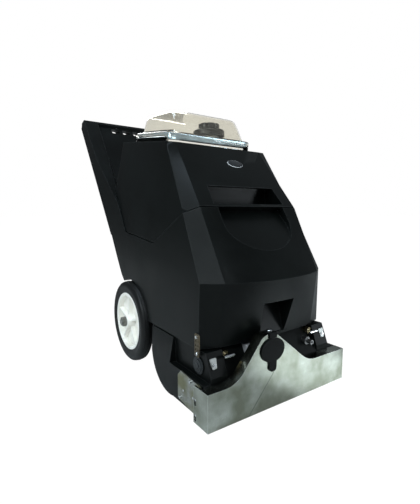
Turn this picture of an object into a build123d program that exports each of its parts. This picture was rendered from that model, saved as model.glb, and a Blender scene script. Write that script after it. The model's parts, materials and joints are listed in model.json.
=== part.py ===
from build123d import *
from math import atan2, cos, hypot, radians, sin
import os

# Walk-behind carpet extractor. Millimetres, +Z up, standing on Z = 0.
# The suction shoe is at the front (-Y), the operator's console at the back (+Y).
# Origin: on the floor, in the middle of the overall length and width.
# Inside this file every front-to-back distance is measured back from the nose,
# which is the front face of the shoe.

# ---------------------------------------------------------------- driving sizes
overall_length = 980.4       # front of the port's cap to the back edge of the console
wheel_diameter = 250.0
tyre_width = 37.0
rim_radius = 89.0
axle_setback = 469.0         # axle line behind the nose
axle_radius = 10.0
track_outer = 438.0          # outside face to outside face of the tyres

shoe_width = 460.0
shoe_height = 86.0           # at its two ends
shoe_depth = 28.0
bell_peak = 183.0            # top of the raised middle of the shoe
bell_x = -42.0               # the raised middle stands left of centre
shoe_sheet = 2.5
shoe_end_sheet = 4.0
shoe_float = 10.0            # the shoe rides up this far on carpet

tank_bottom = 155.0
tank_half_width = 205.0      # solution tank at its foot
crease_height = 307.0        # edge where the front starts to lean back
crease_half_width = 203.0
seam_height = 478.0          # joint between the two tanks at the front
seam_half_width = 193.0
side_half_width = 199.0      # the tank's sides towards the back
console_half_width = 198.0
recovery_top = 652.0         # front edge of the recovery tank's top
recovery_top_half = 175.0
recovery_seam_half = 190.5
tank_wall = 5.0
tank_gap = 2.5               # shadow gap between the two tanks

base_bottom = 7.0
base_top = 152.0
base_half_width = 218.0
base_front = 31.0
base_wall = 5.0

dome_width = 300.0
dome_length = 252.0
dome_height = 84.0
dome_skirt = 30.0
dome_wall = 3.0

brush_radius = 52.0
brush_setback = 102.0
brush_length = 344.0
sheet = 3.0                  # steel plates
cap_thick = 4.0              # rubber cap, which stands in front of the shoe
cover_thick = 8.0
cover_run = 6.4              # the rear cover's share of the length
running_fit = 0.05           # radial clearance of shafts in their bushes
loose_fit = 0.4              # clearance between parts that only pass each other

# ---------------------------------------------------------------- derived places
nose = -overall_length / 2 + cap_thick
wheel_radius = wheel_diameter / 2
tyre_outer_x = track_outer / 2
tyre_inner_x = tyre_outer_x - tyre_width
well_inner_x = tyre_inner_x - 4
bay_half_width = well_inner_x - 8
shoe_half = shoe_width / 2

# The back of the body leans back from a heel above the wheels.
heel = (545.0, 262.0)
console_top = (overall_length - cap_thick - cover_run, 821.0)
rake = atan2(console_top[0] - heel[0], console_top[1] - heel[1])
back_length = hypot(console_top[0] - heel[0], console_top[1] - heel[1])

# The top of the recovery tank rises gently to the back.
lid_slope = radians(8.05)
lid_front = 270.0

suction_x = 42.0             # air pipe from the dome down to the vacuum motor
suction_y = 392.0
inlet_x = bell_x             # dirty-water pipe from the shoe
inlet_y = 262.0


def side_plane(x):
    """Looking along X: first coordinate is the distance back from the nose, second is height."""
    return Plane(origin=(x, nose, 0), x_dir=(0, 1, 0), z_dir=(1, 0, 0))


def plan_plane(z):
    """Looking down: X across, distance back from the nose along."""
    return Plane(origin=(0, nose, z))


def front_plane(setback):
    """Looking from the front: X across, height up, extruding forwards."""
    return Plane(origin=(0, nose + setback, 0), x_dir=(1, 0, 0), z_dir=(0, -1, 0))


def back_plane(depth):
    """On the leaning back: x runs to -X, y runs up the slope from the heel, z points out.
    The plane lies this depth inside the back face."""
    y = nose + heel[0] - depth * cos(rake)
    z = heel[1] + depth * sin(rake)
    return Plane(origin=(0, y, z), x_dir=(-1, 0, 0), z_dir=(0, cos(rake), -sin(rake)))


def lid_plane(height):
    """On the sloping top of the recovery tank: y runs back from its front edge."""
    y = nose + lid_front - height * sin(lid_slope)
    z = recovery_top + height * cos(lid_slope)
    return Plane(origin=(0, y, z), x_dir=(1, 0, 0), z_dir=(0, -sin(lid_slope), cos(lid_slope)))


def up_the_back(slope_distance, depth):
    """Side-view point at a distance up the back and a depth inside it."""
    return (
        heel[0] + slope_distance * sin(rake) - depth * cos(rake),
        heel[1] + slope_distance * cos(rake) + depth * sin(rake),
    )


def lid_height(setback):
    """Height of the recovery tank's top at a distance from the nose."""
    return recovery_top + (setback - lid_front) * sin(lid_slope) / cos(lid_slope)


def plan_outline(centre, shoulder, corner, tail):
    """Half of it mirrored: bowed front, corner facet, straight side, square back."""
    ThreePointArc((-shoulder[0], shoulder[1]), (0, centre), shoulder)
    Polyline(
        shoulder, corner, tail, (-tail[0], tail[1]), (-corner[0], corner[1]), (-shoulder[0], shoulder[1])
    )


def moulding(profile, sections, inset=0.0):
    """A moulded body: plan outlines lofted up its height and cut to the side profile.
    With an inset it is the space inside the walls."""
    with BuildPart() as form:
        for height, outline in sections:
            with BuildSketch(plan_plane(height)):
                with BuildLine():
                    plan_outline(*outline)
                make_face()
                if inset:
                    offset(amount=-inset, kind=Kind.INTERSECTION)
        loft(ruled=True)
        with BuildSketch(side_plane(-300)):
            with BuildLine():
                Polyline(*profile, close=True)
            make_face()
            if inset:
                offset(amount=-inset, kind=Kind.INTERSECTION)
        extrude(amount=600, mode=Mode.INTERSECT)
    return form.part


def side_slab(points, x_from, x_to, grow=0.0):
    """A slab across the machine with a straight-sided profile seen from the side."""
    with BuildPart() as slab:
        with BuildSketch(side_plane(x_from)):
            with BuildLine():
                Polyline(*points, close=True)
            make_face()
            if grow:
                offset(amount=grow, kind=Kind.INTERSECTION)
        extrude(amount=x_to - x_from)
    return slab.part


def front_prism(outline, behind, reach, grow=0.0):
    """A prism running forwards from a setback, with its outline seen from the front."""
    with BuildPart() as prism:
        with BuildSketch(front_plane(behind)):
            add(outline())
            if grow:
                offset(amount=grow, kind=Kind.INTERSECTION)
        extrude(amount=reach)
    return prism.part


os.makedirs("parts", exist_ok=True)


def save(part, name):
    part.label = name
    export_step(part, f"parts/{name}.step")


# ---------------------------------------------------------------- solution tank
# Rotomoulded lower tank. Its back carries on upwards as the operator's console.
cradle_front = 132.0
cradle_low = (314.0, 380.0)
cheek_foot = up_the_back(92, 110)
cheek_knee = up_the_back(213, 110)
cheek_waist = up_the_back(463, 50)
cheek_top = up_the_back(back_length - 13, 40)
tail = overall_length + 60

tank_profile = [
    (-20, tank_bottom),
    (-20, seam_height),
    (cradle_front, seam_height),
    cradle_low,
    cheek_foot,
    cheek_knee,
    cheek_waist,
    cheek_top,
    up_the_back(back_length, 12),
    up_the_back(back_length - 8, 0),
    heel,
    (axle_setback - 49, tank_bottom),
]
tank_sections = [
    (tank_bottom - 10, (52, (158, 60), (tank_half_width, 76), (side_half_width + 4, tail))),
    (crease_height, (6, (156, 39), (crease_half_width, 72), (side_half_width + 2, tail))),
    (seam_height, (124, (162, 131), (seam_half_width, 166), (side_half_width, tail))),
    (console_top[1] + 40, (330, (166, 337), (seam_half_width, 372), (side_half_width - 1, tail))),
]

# Finger recess in the front below the seam, under the recovery tank's hand slot.
scoop_half = 112.0
scoop_drop = 106.0
scoop_round = 68.0
scoop_depth = 36.0


def scoop(grow=0.0):
    """Its floor slopes outwards, so that it drains."""
    middle = seam_height - scoop_drop + scoop_round
    with BuildPart() as prism:
        with BuildSketch(front_plane(220)):
            with Locations((0, middle)):
                Ellipse(scoop_half + grow, scoop_round + grow)
            with Locations((0, middle + 40)):
                Rectangle(2 * (scoop_half + grow), 80)
        extrude(amount=260)
    floor = [
        (-40, seam_height - scoop_drop - 4),
        (48, seam_height - scoop_drop - 4),
        (124 + scoop_depth, seam_height),
        (124 + scoop_depth, seam_height + 40),
        (-40, seam_height + 40),
    ]
    return prism.part & side_slab(floor, -200, 200, grow)


# Lifting recess low in the front face: a flat roof for the fingers.
lift_top = 250.0
lift_bottom = 163.0
lift_top_half = 52.0
lift_bottom_half = 42.0


def lift_outline():
    with BuildSketch() as outline:
        with BuildLine():
            Polyline(
                (-lift_bottom_half, lift_bottom),
                (lift_bottom_half, lift_bottom),
                (lift_top_half, lift_top),
                (-lift_top_half, lift_top),
                close=True,
            )
        make_face()
    return outline.sketch


def lift_pocket(grow=0.0):
    sides = [(-40, lift_top + 12), (20, lift_top + 2), (78, lift_top - 20), (53, lift_bottom), (-40, lift_bottom)]
    return front_prism(lift_outline, 220, 260, grow) & side_slab(sides, -100, 100, grow)


# The console is dished between its two cheeks.
dish_floor = 30.0
dish_half = 138.0
dish_foot = 255.0
dish_head = back_length - 30
dish_flare = 30.0


def dish(grow=0.0):
    with BuildPart() as hollow:
        with BuildSketch(back_plane(dish_floor - grow)):
            with Locations((0, (dish_foot + dish_head) / 2)):
                Rectangle(2 * (dish_half + grow * 0.6), dish_head - dish_foot + 2 * grow * 0.6)
        extrude(amount=-130, taper=-dish_flare)
    return hollow.part


# Dry compartment for the switches, open to the back.
console_depth = 22.0
console_bay_half = 140.0
console_bay_foot = 260.0
console_bay_head = back_length - 55


def console_bay(grow=0.0):
    with BuildPart() as hollow:
        with BuildSketch(back_plane(console_depth + grow)):
            with Locations((0, (console_bay_foot + console_bay_head) / 2)):
                Rectangle(2 * (console_bay_half + grow), console_bay_head - console_bay_foot + 2 * grow)
        extrude(amount=60)
    return hollow.part


# Hand-hold slots along the console's top edge, level through its wall.
slot_count = 4
slot_pitch = 47.0
slot_width = 35.0
slot_height = 18.0
slot_level = console_top[1] - 18


def hand_slots(grow=0.0):
    with BuildPart() as slots:
        with BuildSketch(front_plane(overall_length + 20)):
            with Locations((0, slot_level)):
                with GridLocations(slot_pitch, 0, slot_count, 1):
                    RectangleRounded(slot_width + 2 * grow, slot_height + 2 * grow, 5)
        extrude(amount=160)
    return slots.part


# Space for the vacuum motor between the wheels, and the two wheel wells.
bay_front = 308.0
bay_roof = 235.0
well_radius = wheel_radius + 6


def motor_bay(grow=0.0):
    front = bay_front - grow
    roof = bay_roof + grow
    points = [(front, 0), (front, roof), (heel[0] + 40, roof), (heel[0] + 40, 0)]
    half = bay_half_width + grow
    return side_slab(points, -half, half)


def wheel_wells(grow=0.0):
    with BuildPart() as wells:
        for sign in (-1, 1):
            with BuildSketch(side_plane(sign * (well_inner_x - grow))):
                with Locations((axle_setback, wheel_radius)):
                    Circle(well_radius + grow)
            extrude(amount=sign * 80)
    return wells.part


# Two pipes pass up through the tank in moulded tunnels.
suction_tunnel_radius = 33.0
inlet_tunnel_radius = 24.0


def tunnels(grow=0.0):
    with BuildPart() as bores:
        with BuildSketch(plan_plane(100)):
            with Locations((suction_x, suction_y)):
                Circle(suction_tunnel_radius + grow)
            with Locations((inlet_x, inlet_y)):
                Circle(inlet_tunnel_radius + grow)
        extrude(amount=345)
    return bores.part


fill_x = 100.0
fill_y = 250.0
fill_radius = 42.0

with BuildPart() as solution_tank:
    add(moulding(tank_profile, tank_sections))
    for recess in (scoop, lift_pocket, dish, console_bay, hand_slots, motor_bay, wheel_wells, tunnels):
        add(recess(), mode=Mode.SUBTRACT, clean=False)
    space = moulding(tank_profile, tank_sections, tank_wall)
    for recess in (scoop, lift_pocket, dish, console_bay, hand_slots, motor_bay, wheel_wells, tunnels):
        space = space - recess(tank_wall)
    add(max(space.solids(), key=lambda solid: solid.volume), mode=Mode.SUBTRACT, clean=False)
    # Filling hole under the recovery tank.
    with BuildSketch(plan_plane(300)):
        with Locations((fill_x, fill_y)):
            Circle(fill_radius)
    extrude(amount=200, mode=Mode.SUBTRACT, clean=False)
save(solution_tank.part, "solution_tank")

# ---------------------------------------------------------------- recovery tank
# Upper tank, which sits in the cradle and lifts out by its hand slot.
back_foot = (627.0, 534.0)
back_head = (581.0, lid_height(581.0))
recovery_profile = [
    (60, seam_height + tank_gap),
    (cradle_front + 0.5, seam_height + tank_gap),
    (cradle_low[0], cradle_low[1] + tank_gap * 1.1),
    (cheek_foot[0] - 1, cheek_foot[1] + tank_gap),
    (cheek_knee[0] - 2, cheek_knee[1] + tank_gap),
    back_foot,
    back_head,
    (60, lid_height(60.0)),
]
recovery_sections = [
    (cradle_low[1] - 20, (20, (163, 30), (199, 70), (199, tail))),
    (seam_height, (124, (162, 131), (recovery_seam_half, 168), (recovery_seam_half, tail))),
    (recovery_top, (lid_front, (147, 271), (recovery_top_half, 279), (recovery_top_half, tail))),
    (recovery_top + 80, (337, (139, 338), (168, 346), (168, tail))),
]

slot_roof = 533.0
slot_floor = 487.0


def hand_slot_outline():
    with BuildSketch() as outline:
        with BuildLine():
            Polyline((-119, slot_floor), (119, slot_floor), (112, slot_roof), (-112, slot_roof), close=True)
        make_face()
    return outline.sketch


def hand_slot(grow=0.0):
    return front_prism(hand_slot_outline, 205 + grow, 240, grow)


# Blank oval badge, let into the front of the recovery tank.
front_lean = atan2(lid_front - 124, recovery_top - seam_height)
badge_height = 602.0
badge_y = 124 + (badge_height - seam_height) * sin(front_lean) / cos(front_lean)
badge_plane = Plane(
    origin=(20, nose + badge_y, badge_height), x_dir=(1, 0, 0), z_dir=(0, -cos(front_lean), sin(front_lean))
)
badge_sink = 1.5


def badge_form(grow=0.0):
    with BuildPart() as form:
        with BuildSketch(badge_plane.offset(-badge_sink - grow)):
            Ellipse(26 + grow, 14 + grow)
        extrude(amount=badge_sink + 1.2 + grow)
    return form.part


mouth_width = 262.0
mouth_length = 214.0
dome_middle = 160.0          # up the sloping top from its front edge
pipe_wall = 3.0
suction_pipe_radius = 30.0
inlet_pipe_radius = 22.0

with BuildPart() as recovery_tank:
    add(moulding(recovery_profile, recovery_sections))
    add(hand_slot(), mode=Mode.SUBTRACT)
    space = moulding(recovery_profile, recovery_sections, tank_wall) - hand_slot(tank_wall)
    add(max(space.solids(), key=lambda solid: solid.volume), mode=Mode.SUBTRACT)
    add(badge_form(0.2), mode=Mode.SUBTRACT)
    with BuildSketch(lid_plane(-30)):
        with Locations((0, dome_middle)):
            RectangleRounded(mouth_width, mouth_length, 30)
    extrude(amount=60, mode=Mode.SUBTRACT)
    with BuildSketch(plan_plane(340)):
        with Locations((suction_x, suction_y)):
            Circle(suction_pipe_radius)
        with Locations((inlet_x, inlet_y)):
            Circle(inlet_pipe_radius)
    extrude(amount=120, mode=Mode.SUBTRACT)
save(recovery_tank.part, "recovery_tank")

with BuildPart() as badge:
    add(badge_form())
save(badge.part, "badge")

# Upright pipes welded into its floor.
seal_height = 4.0
filter_seat = 704.0
suction_pipe_foot = cradle_low[1] + 4
suction_pipe_top = filter_seat + 2
inlet_pipe_foot = cradle_low[1] + 20
inlet_pipe_top = 598.0


def pipe(x, y, radius, foot, head):
    with BuildPart() as tube:
        with BuildSketch(plan_plane(foot)):
            with Locations((x, y)):
                Circle(radius)
                Circle(radius - pipe_wall, mode=Mode.SUBTRACT)
        extrude(amount=head - foot)
    return tube.part


save(pipe(suction_x, suction_y, suction_pipe_radius, suction_pipe_foot, suction_pipe_top), "suction_pipe")
save(pipe(inlet_x, inlet_y, inlet_pipe_radius, inlet_pipe_foot, inlet_pipe_top), "inlet_pipe")

# A ring float slides on the suction pipe. Rising water lifts it against the rim
# of the filter cap, which shuts off the air.
cap_rim_radius = 46.0
cap_wall = 4.0
cap_flange_height = 22.0
float_rest = 642.0
float_height = 22.0
float_clear = 1.0
collar_sheet = 4.0
fin_count = 4
with BuildPart() as pipe_head:
    with BuildSketch(plan_plane(float_rest - collar_sheet)):
        with Locations((suction_x, suction_y)):
            Circle(suction_pipe_radius + 8)
            Circle(suction_pipe_radius, mode=Mode.SUBTRACT)
    extrude(amount=collar_sheet)
    # Fins on top of the pipe carry the cap.
    with BuildSketch(plan_plane(suction_pipe_top)):
        with Locations((suction_x, suction_y)):
            Circle(suction_pipe_radius)
            Circle(suction_pipe_radius - pipe_wall, mode=Mode.SUBTRACT)
            with PolarLocations((suction_pipe_radius + cap_rim_radius) / 2 - 2, fin_count, 45):
                Rectangle(cap_rim_radius - suction_pipe_radius, 4)
            Circle(cap_rim_radius - loose_fit, mode=Mode.INTERSECT)
    extrude(amount=cap_flange_height - cap_wall - 4)
save(pipe_head.part, "pipe_head")

with BuildPart() as float_ring:
    with BuildSketch(plan_plane(float_rest + loose_fit)):
        with Locations((suction_x, suction_y)):
            Circle(cap_rim_radius + 3)
            Circle(suction_pipe_radius + float_clear, mode=Mode.SUBTRACT)
    extrude(amount=float_height)
save(float_ring.part, "float_ring")

# Black filter cap over the pipe: a wide cup with a ribbed grip knob on top.
cap_flange_radius = cap_rim_radius + cap_wall
cap_knob_radius = 33.0
cap_knob_height = 18.0
with BuildPart() as filter_cap:
    with BuildSketch(plan_plane(filter_seat)):
        with Locations((suction_x, suction_y)):
            Circle(cap_flange_radius)
    extrude(amount=cap_flange_height)
    fillet(filter_cap.edges().group_by(Axis.Z)[-1], 6)
    with BuildSketch(plan_plane(filter_seat + cap_flange_height)):
        with Locations((suction_x, suction_y)):
            Circle(cap_knob_radius)
            with PolarLocations(cap_knob_radius + 2, 8):
                Circle(5, mode=Mode.SUBTRACT)
    extrude(amount=cap_knob_height)
    with BuildSketch(plan_plane(filter_seat)):
        with Locations((suction_x, suction_y)):
            Circle(cap_rim_radius)
    extrude(amount=cap_flange_height - cap_wall, mode=Mode.SUBTRACT)
save(filter_cap.part, "filter_cap")

# ---------------------------------------------------------------- clear dome
gasket_height = 3.0


dome_shoulder = (264.0, 224.0, 158.0)   # width, length and middle of the step
dome_roof = (220.0, 164.0, 180.0)
dome_fall = radians(3.4)                # the roof drops back towards level


def dome_form(inset):
    """Straight skirt, a shoulder, and an upper part with a long slope in front."""
    foot = gasket_height - 5 if inset else gasket_height
    roof_y, roof_height = dome_roof[2], dome_height - inset
    roof = Plane(
        origin=lid_plane(roof_height).from_local_coords((0, roof_y, 0)),
        x_dir=(1, 0, 0),
        z_dir=(0, -sin(lid_slope - dome_fall), cos(lid_slope - dome_fall)),
    )
    with BuildPart() as form:
        with BuildSketch(lid_plane(foot)):
            with Locations((0, dome_middle)):
                RectangleRounded(dome_width - 2 * inset, dome_length - 2 * inset, 34 - inset)
        extrude(amount=dome_skirt - inset - foot)
        with BuildSketch(lid_plane(dome_skirt - inset - 1)):
            with Locations((0, dome_shoulder[2])):
                RectangleRounded(dome_shoulder[0] - 2 * inset, dome_shoulder[1] - 2 * inset, 30 - inset)
        with BuildSketch(roof):
            RectangleRounded(dome_roof[0] - 2 * inset, dome_roof[1] - 2 * inset, 24 - inset)
        loft()
    return form.part


with BuildPart() as dome_lid:
    add(dome_form(0))
    add(dome_form(dome_wall), mode=Mode.SUBTRACT)
save(dome_lid.part, "dome_lid")

with BuildPart() as dome_gasket:
    with BuildSketch(lid_plane(0)):
        with Locations((0, dome_middle)):
            RectangleRounded(dome_width - 2, dome_length - 2, 33)
            RectangleRounded(mouth_width + 6, mouth_length + 6, 30, mode=Mode.SUBTRACT)
    extrude(amount=gasket_height)
save(dome_gasket.part, "dome_gasket")

# Polished aluminium band that stiffens the dome's skirt from the inside.
band_sheet = 2.0
band_clear = dome_wall + 0.2
with BuildPart() as dome_band:
    with BuildSketch(lid_plane(gasket_height)):
        with Locations((0, dome_middle)):
            RectangleRounded(dome_width - 2 * band_clear, dome_length - 2 * band_clear, 34 - band_clear)
            RectangleRounded(
                dome_width - 2 * (band_clear + band_sheet),
                dome_length - 2 * (band_clear + band_sheet),
                34 - band_clear - band_sheet,
                mode=Mode.SUBTRACT,
            )
    extrude(amount=dome_skirt - dome_wall - gasket_height - 0.5)
save(dome_band.part, "dome_band")

# ---------------------------------------------------------------- base housing
# Lower moulding round the brush: a sloping deck in front between two wings, and
# side skirts that are cut away at the front corners.
deck_edge = 84.0
deck_top = (74.0, base_top)
wing_inner_x = 155.0
wing_outer_x = 200.0
wing_top = 52.0
wing_nose_height = 100.0
skirt_cut_y = 188.0
skirt_cut_height = 88.0
skirt_round = 36.0
skirt_top_half = 207.0
skirt_bend = 92.0
chamber_half = 195.0
bulkhead_y = 168.0
bulkhead_sheet = 4.0


def base_profile(wall=0.0, drop=0.0):
    """Side view of the housing, set in by a wall; a drop opens it downwards."""
    with BuildSketch() as profile:
        with BuildLine():
            Polyline(
                (288 - wall, 80),
                (306 - wall, base_top - wall),
                (deck_top[0] + wall * 0.7, base_top - wall),
                (base_front + wall, deck_edge - wall * 0.6),
                (base_front + wall, base_bottom - drop),
                (172, base_bottom - drop),
            )
            ThreePointArc((172, base_bottom - drop), (262 - wall, 32 - drop * 0.7), (288 - wall, 80))
        make_face()
    return profile.sketch


def across(profile, x_from, x_to):
    """Stretches a side-view profile across the machine."""
    with BuildPart() as slab:
        with BuildSketch(side_plane(x_from)):
            add(profile)
        extrude(amount=x_to - x_from)
    return slab.part


duct_width = 80.0
duct_floor = 112.0
duct_roof = 146.0
duct_front = 48.5
duct_wall = 3.0
duct_back = inlet_y + inlet_tunnel_radius


def duct_box(grow=0.0):
    """Outside of the flat duct that leads dirty water back over the brush."""
    with BuildPart() as box:
        with BuildSketch(plan_plane(duct_floor - grow)):
            with Locations((inlet_x, (duct_front + duct_back) / 2)):
                RectangleRounded(duct_width + 2 * grow, duct_back - duct_front + 2 * grow, 6)
        extrude(amount=duct_roof - duct_floor + 2 * grow)
    return box.part


pin_x = 146.0
pin_height = 140.0
guide_radius = 8.0
coupler_x = 126.0
coupler_height = 118.0
coupler_radius = 8.0
pump_x = -120.0
spray_y = 158.0
spray_height = 96.0
spigot_radius = 5.0

with BuildPart() as base_housing:
    add(across(base_profile(), -base_half_width, base_half_width))
    for sign in (-1, 1):
        wing = [
            (base_front, deck_edge - 20),
            (base_front, wing_nose_height),
            (wing_top, base_top),
            (deck_top[0] + 10, base_top),
            (deck_top[0] + 10, deck_edge - 20),
        ]
        add(side_slab(wing, sign * wing_inner_x, sign * wing_outer_x))
    # The skirts lean in above the bend.
    with BuildSketch(front_plane(400)):
        with BuildLine():
            Polyline(
                (-base_half_width, -20),
                (base_half_width, -20),
                (base_half_width, skirt_bend),
                (skirt_top_half, base_top + 1),
                (-skirt_top_half, base_top + 1),
                (-base_half_width, skirt_bend),
                close=True,
            )
        make_face()
    extrude(amount=500, mode=Mode.INTERSECT)
    # Front corners cut away over the plates.
    for sign in (-1, 1):
        with BuildSketch(side_plane(sign * wing_outer_x)) as corner:
            with Locations(((skirt_cut_y - 80), skirt_cut_height + 50)):
                Rectangle(160, 100)
            fillet(corner.vertices().sort_by(Axis.Y)[-2:].sort_by(Axis.Z)[:1], skirt_round)
        extrude(amount=sign * 40, mode=Mode.SUBTRACT)
    # Brush chamber and motor space, open underneath.
    add(across(base_profile(base_wall, 20), -chamber_half, chamber_half), mode=Mode.SUBTRACT)
    for sign in (-1, 1):
        skirt_space = [(198, -20), (198, skirt_bend), (278, skirt_bend), (262, 40), (240, -20)]
        add(side_slab(skirt_space, sign * (chamber_half + base_wall), sign * 213), mode=Mode.SUBTRACT)
    with BuildSketch(front_plane(bulkhead_y + bulkhead_sheet)):
        with Locations((0, (base_bottom + 3 + base_top - base_wall) / 2)):
            Rectangle(2 * chamber_half, base_top - base_wall - base_bottom - 3)
        with Locations((chamber_half - 9, 78)):
            Rectangle(18, 104, mode=Mode.SUBTRACT)
    extrude(amount=bulkhead_sheet)
    add(duct_box(0.5), mode=Mode.SUBTRACT)
    with BuildSketch(plan_plane(120)):
        with Locations((inlet_x, inlet_y)):
            Circle(inlet_tunnel_radius)
    extrude(amount=60, mode=Mode.SUBTRACT)
    with BuildSketch(front_plane(120)):
        with Locations((-pin_x, pin_height), (pin_x, pin_height)):
            Circle(guide_radius)
        with Locations((coupler_x, coupler_height)):
            Circle(coupler_radius)
    extrude(amount=120, mode=Mode.SUBTRACT)
    with BuildSketch(front_plane(bulkhead_y + 20)):
        with Locations((pump_x, spray_height)):
            Circle(spigot_radius)
    extrude(amount=30, mode=Mode.SUBTRACT)
save(base_housing.part, "base_housing")

# Round bearing caps on the outer faces of the wings.
cap_y = 80.0
cap_height = 116.0
with BuildPart() as pivot_caps:
    for sign in (-1, 1):
        for radius, face in ((20, 3), (14, 5), (7, 7)):
            with BuildSketch(side_plane(sign * wing_outer_x)):
                with Locations((cap_y, cap_height)):
                    Circle(radius)
            extrude(amount=sign * face)
save(pivot_caps.part, "pivot_caps")

# ---------------------------------------------------------------- side plates
plate_inner_x = base_half_width
plate_outer_x = plate_inner_x + sheet
screw_radius = 2.5
plate_screw_places = [(84, 80), (112, 48), (130, 24), (69, 48)]
ear_slot_y = 50.0
ear_slot_heights = (54.0, 18.0)
with BuildPart() as side_plates:
    for sign in (-1, 1):
        with BuildSketch(side_plane(sign * plate_inner_x)) as plate:
            with BuildLine():
                Polyline((42, 6), (42, 84), (128, 90), (142, 76), (142, 18), close=True)
            make_face()
            fillet(plate.vertices().sort_by(Axis.Z)[-1], 8)
            with Locations(*plate_screw_places):
                Circle(screw_radius, mode=Mode.SUBTRACT)
            with Locations((68, 22), (ear_slot_y, ear_slot_heights[0]), (ear_slot_y, ear_slot_heights[1])):
                Circle(screw_radius, mode=Mode.SUBTRACT)
        extrude(amount=sign * sheet)
save(side_plates.part, "side_plates")

# ---------------------------------------------------------------- vacuum shoe
# Fabricated from polished aluminium sheet: a narrow box with an open mouth below.
bell_left_foot = 110.0
bell_left_head = 32.0
bell_right_head = 6.0
bell_right_foot = 126.0
mouth_gap = 9.0
port_x = bell_x - 4
port_height = 145.0
port_radius = 20.0
hose_height = 129.0
hose_radius = 16.0
ear_back = 57.0


def shoe_outline(foot):
    with BuildSketch() as outline:
        with BuildLine():
            Polyline(
                (-shoe_half, foot),
                (-shoe_half, shoe_height),
                (bell_x - bell_left_foot, shoe_height),
                (bell_x - bell_left_head, bell_peak),
                (bell_x + bell_right_head, bell_peak),
                (bell_x + bell_right_foot, shoe_height),
                (shoe_half, shoe_height),
                (shoe_half, foot),
                close=True,
            )
        make_face()
        corners = outline.vertices()
        fillet(corners.sort_by_distance((bell_x - bell_left_foot, shoe_height))[0], 70)
        fillet(outline.vertices().sort_by_distance((bell_x + bell_right_foot, shoe_height))[0], 80)
        fillet(outline.vertices().sort_by_distance((bell_x - bell_left_head, bell_peak))[0], 28)
        fillet(outline.vertices().sort_by_distance((bell_x + bell_right_head, bell_peak))[0], 12)
    return outline.sketch


with BuildPart() as vacuum_shoe:
    with BuildSketch(front_plane(shoe_depth)):
        add(shoe_outline(0))
    extrude(amount=shoe_depth)
    with BuildSketch(front_plane(shoe_depth - shoe_sheet)) as inside:
        add(shoe_outline(-20))
        offset(amount=-shoe_sheet, kind=Kind.INTERSECTION)
    extrude(amount=shoe_depth - 2 * shoe_sheet, mode=Mode.SUBTRACT)
    # A bar along the bottom narrows the mouth.
    with BuildSketch(side_plane(-shoe_half + shoe_sheet)):
        with BuildLine():
            Polyline(
                (shoe_depth - shoe_sheet, 0),
                (shoe_sheet + mouth_gap, 0),
                (shoe_sheet + mouth_gap, 8),
                (shoe_depth - shoe_sheet, 22),
                close=True,
            )
        make_face()
    extrude(amount=shoe_width - 2 * shoe_sheet)
    # Ears behind the ends, slotted so that the shoe can float up and down.
    for sign in (-1, 1):
        with BuildSketch(side_plane(sign * (shoe_half - shoe_end_sheet))) as ear:
            with Locations(((shoe_depth + ear_back) / 2 - 4, shoe_height / 2)):
                Rectangle(ear_back - shoe_depth + 8, shoe_height)
            fillet(ear.vertices().sort_by(Axis.Y)[-2:], 5)
            for height in ear_slot_heights:
                with Locations((ear_slot_y, height - shoe_float / 2)):
                    SlotOverall(
                        shoe_float + 2 * screw_radius + 2.4,
                        2 * screw_radius + 1.2,
                        rotation=90,
                        mode=Mode.SUBTRACT,
                    )
        extrude(amount=sign * shoe_end_sheet)
    with BuildSketch(front_plane(shoe_depth)):
        with Locations((bell_x, hose_height)):
            Circle(hose_radius - duct_wall)
    extrude(amount=shoe_sheet, mode=Mode.SUBTRACT)
    with BuildSketch(front_plane(shoe_sheet)):
        with Locations((port_x, port_height)):
            Circle(port_radius)
    extrude(amount=shoe_sheet, mode=Mode.SUBTRACT)
save(vacuum_shoe.part, "vacuum_shoe")

# Short hose from the back of the shoe to the duct's mouth.
with BuildPart() as shoe_hose:
    with BuildSketch(front_plane(duct_front - 1)):
        with Locations((bell_x, hose_height)):
            Circle(hose_radius)
            Circle(hose_radius - duct_wall, mode=Mode.SUBTRACT)
    extrude(amount=duct_front - 1 - shoe_depth)
save(shoe_hose.part, "shoe_hose")

# Rubber cap over the accessory port: an oval flap with a pull tab.
flap_top = bell_peak - 10
flap_half = 29.0
with BuildPart() as port_cap:
    with BuildSketch(front_plane(0)):
        with Locations((port_x, flap_top - flap_half)):
            Ellipse(37, flap_half)
        with Locations((port_x, flap_top - 2 * flap_half - 6)):
            RectangleRounded(23, 34, 10)
    extrude(amount=cap_thick)
    with BuildSketch(front_plane(shoe_sheet + 0.5)):
        with Locations((port_x, port_height)):
            Circle(port_radius - 1)
            Circle(port_radius - 4, mode=Mode.SUBTRACT)
    extrude(amount=shoe_sheet + 0.5)
save(port_cap.part, "port_cap")

# The cap's strap folds over the shoe's peak and is held by one bolt.
strap_half = 11.0
strap_back = 22.0
with BuildPart() as cap_strap:
    with BuildSketch(front_plane(0)):
        with Locations((port_x, (flap_top + 0.8 + bell_peak + 3) / 2)):
            Rectangle(2 * strap_half, bell_peak + 3 - flap_top - 0.8)
    extrude(amount=cap_thick)
    with BuildSketch(plan_plane(bell_peak)):
        with Locations((port_x, strap_back / 2)):
            Rectangle(2 * strap_half, strap_back)
    extrude(amount=3)
save(cap_strap.part, "cap_strap")

with BuildPart() as cap_bolt:
    with BuildSketch(plan_plane(bell_peak + 3)):
        with Locations((port_x, strap_back / 2)):
            Circle(6.5)
    extrude(amount=4.5)
    fillet(cap_bolt.edges().group_by(Axis.Z)[-1], 2)
    with BuildSketch(plan_plane(bell_peak + 7.5)):
        with Locations((port_x, strap_back / 2)):
            RegularPolygon(3, 6)
    extrude(amount=-2.5, mode=Mode.SUBTRACT)
save(cap_bolt.part, "cap_bolt")

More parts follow.
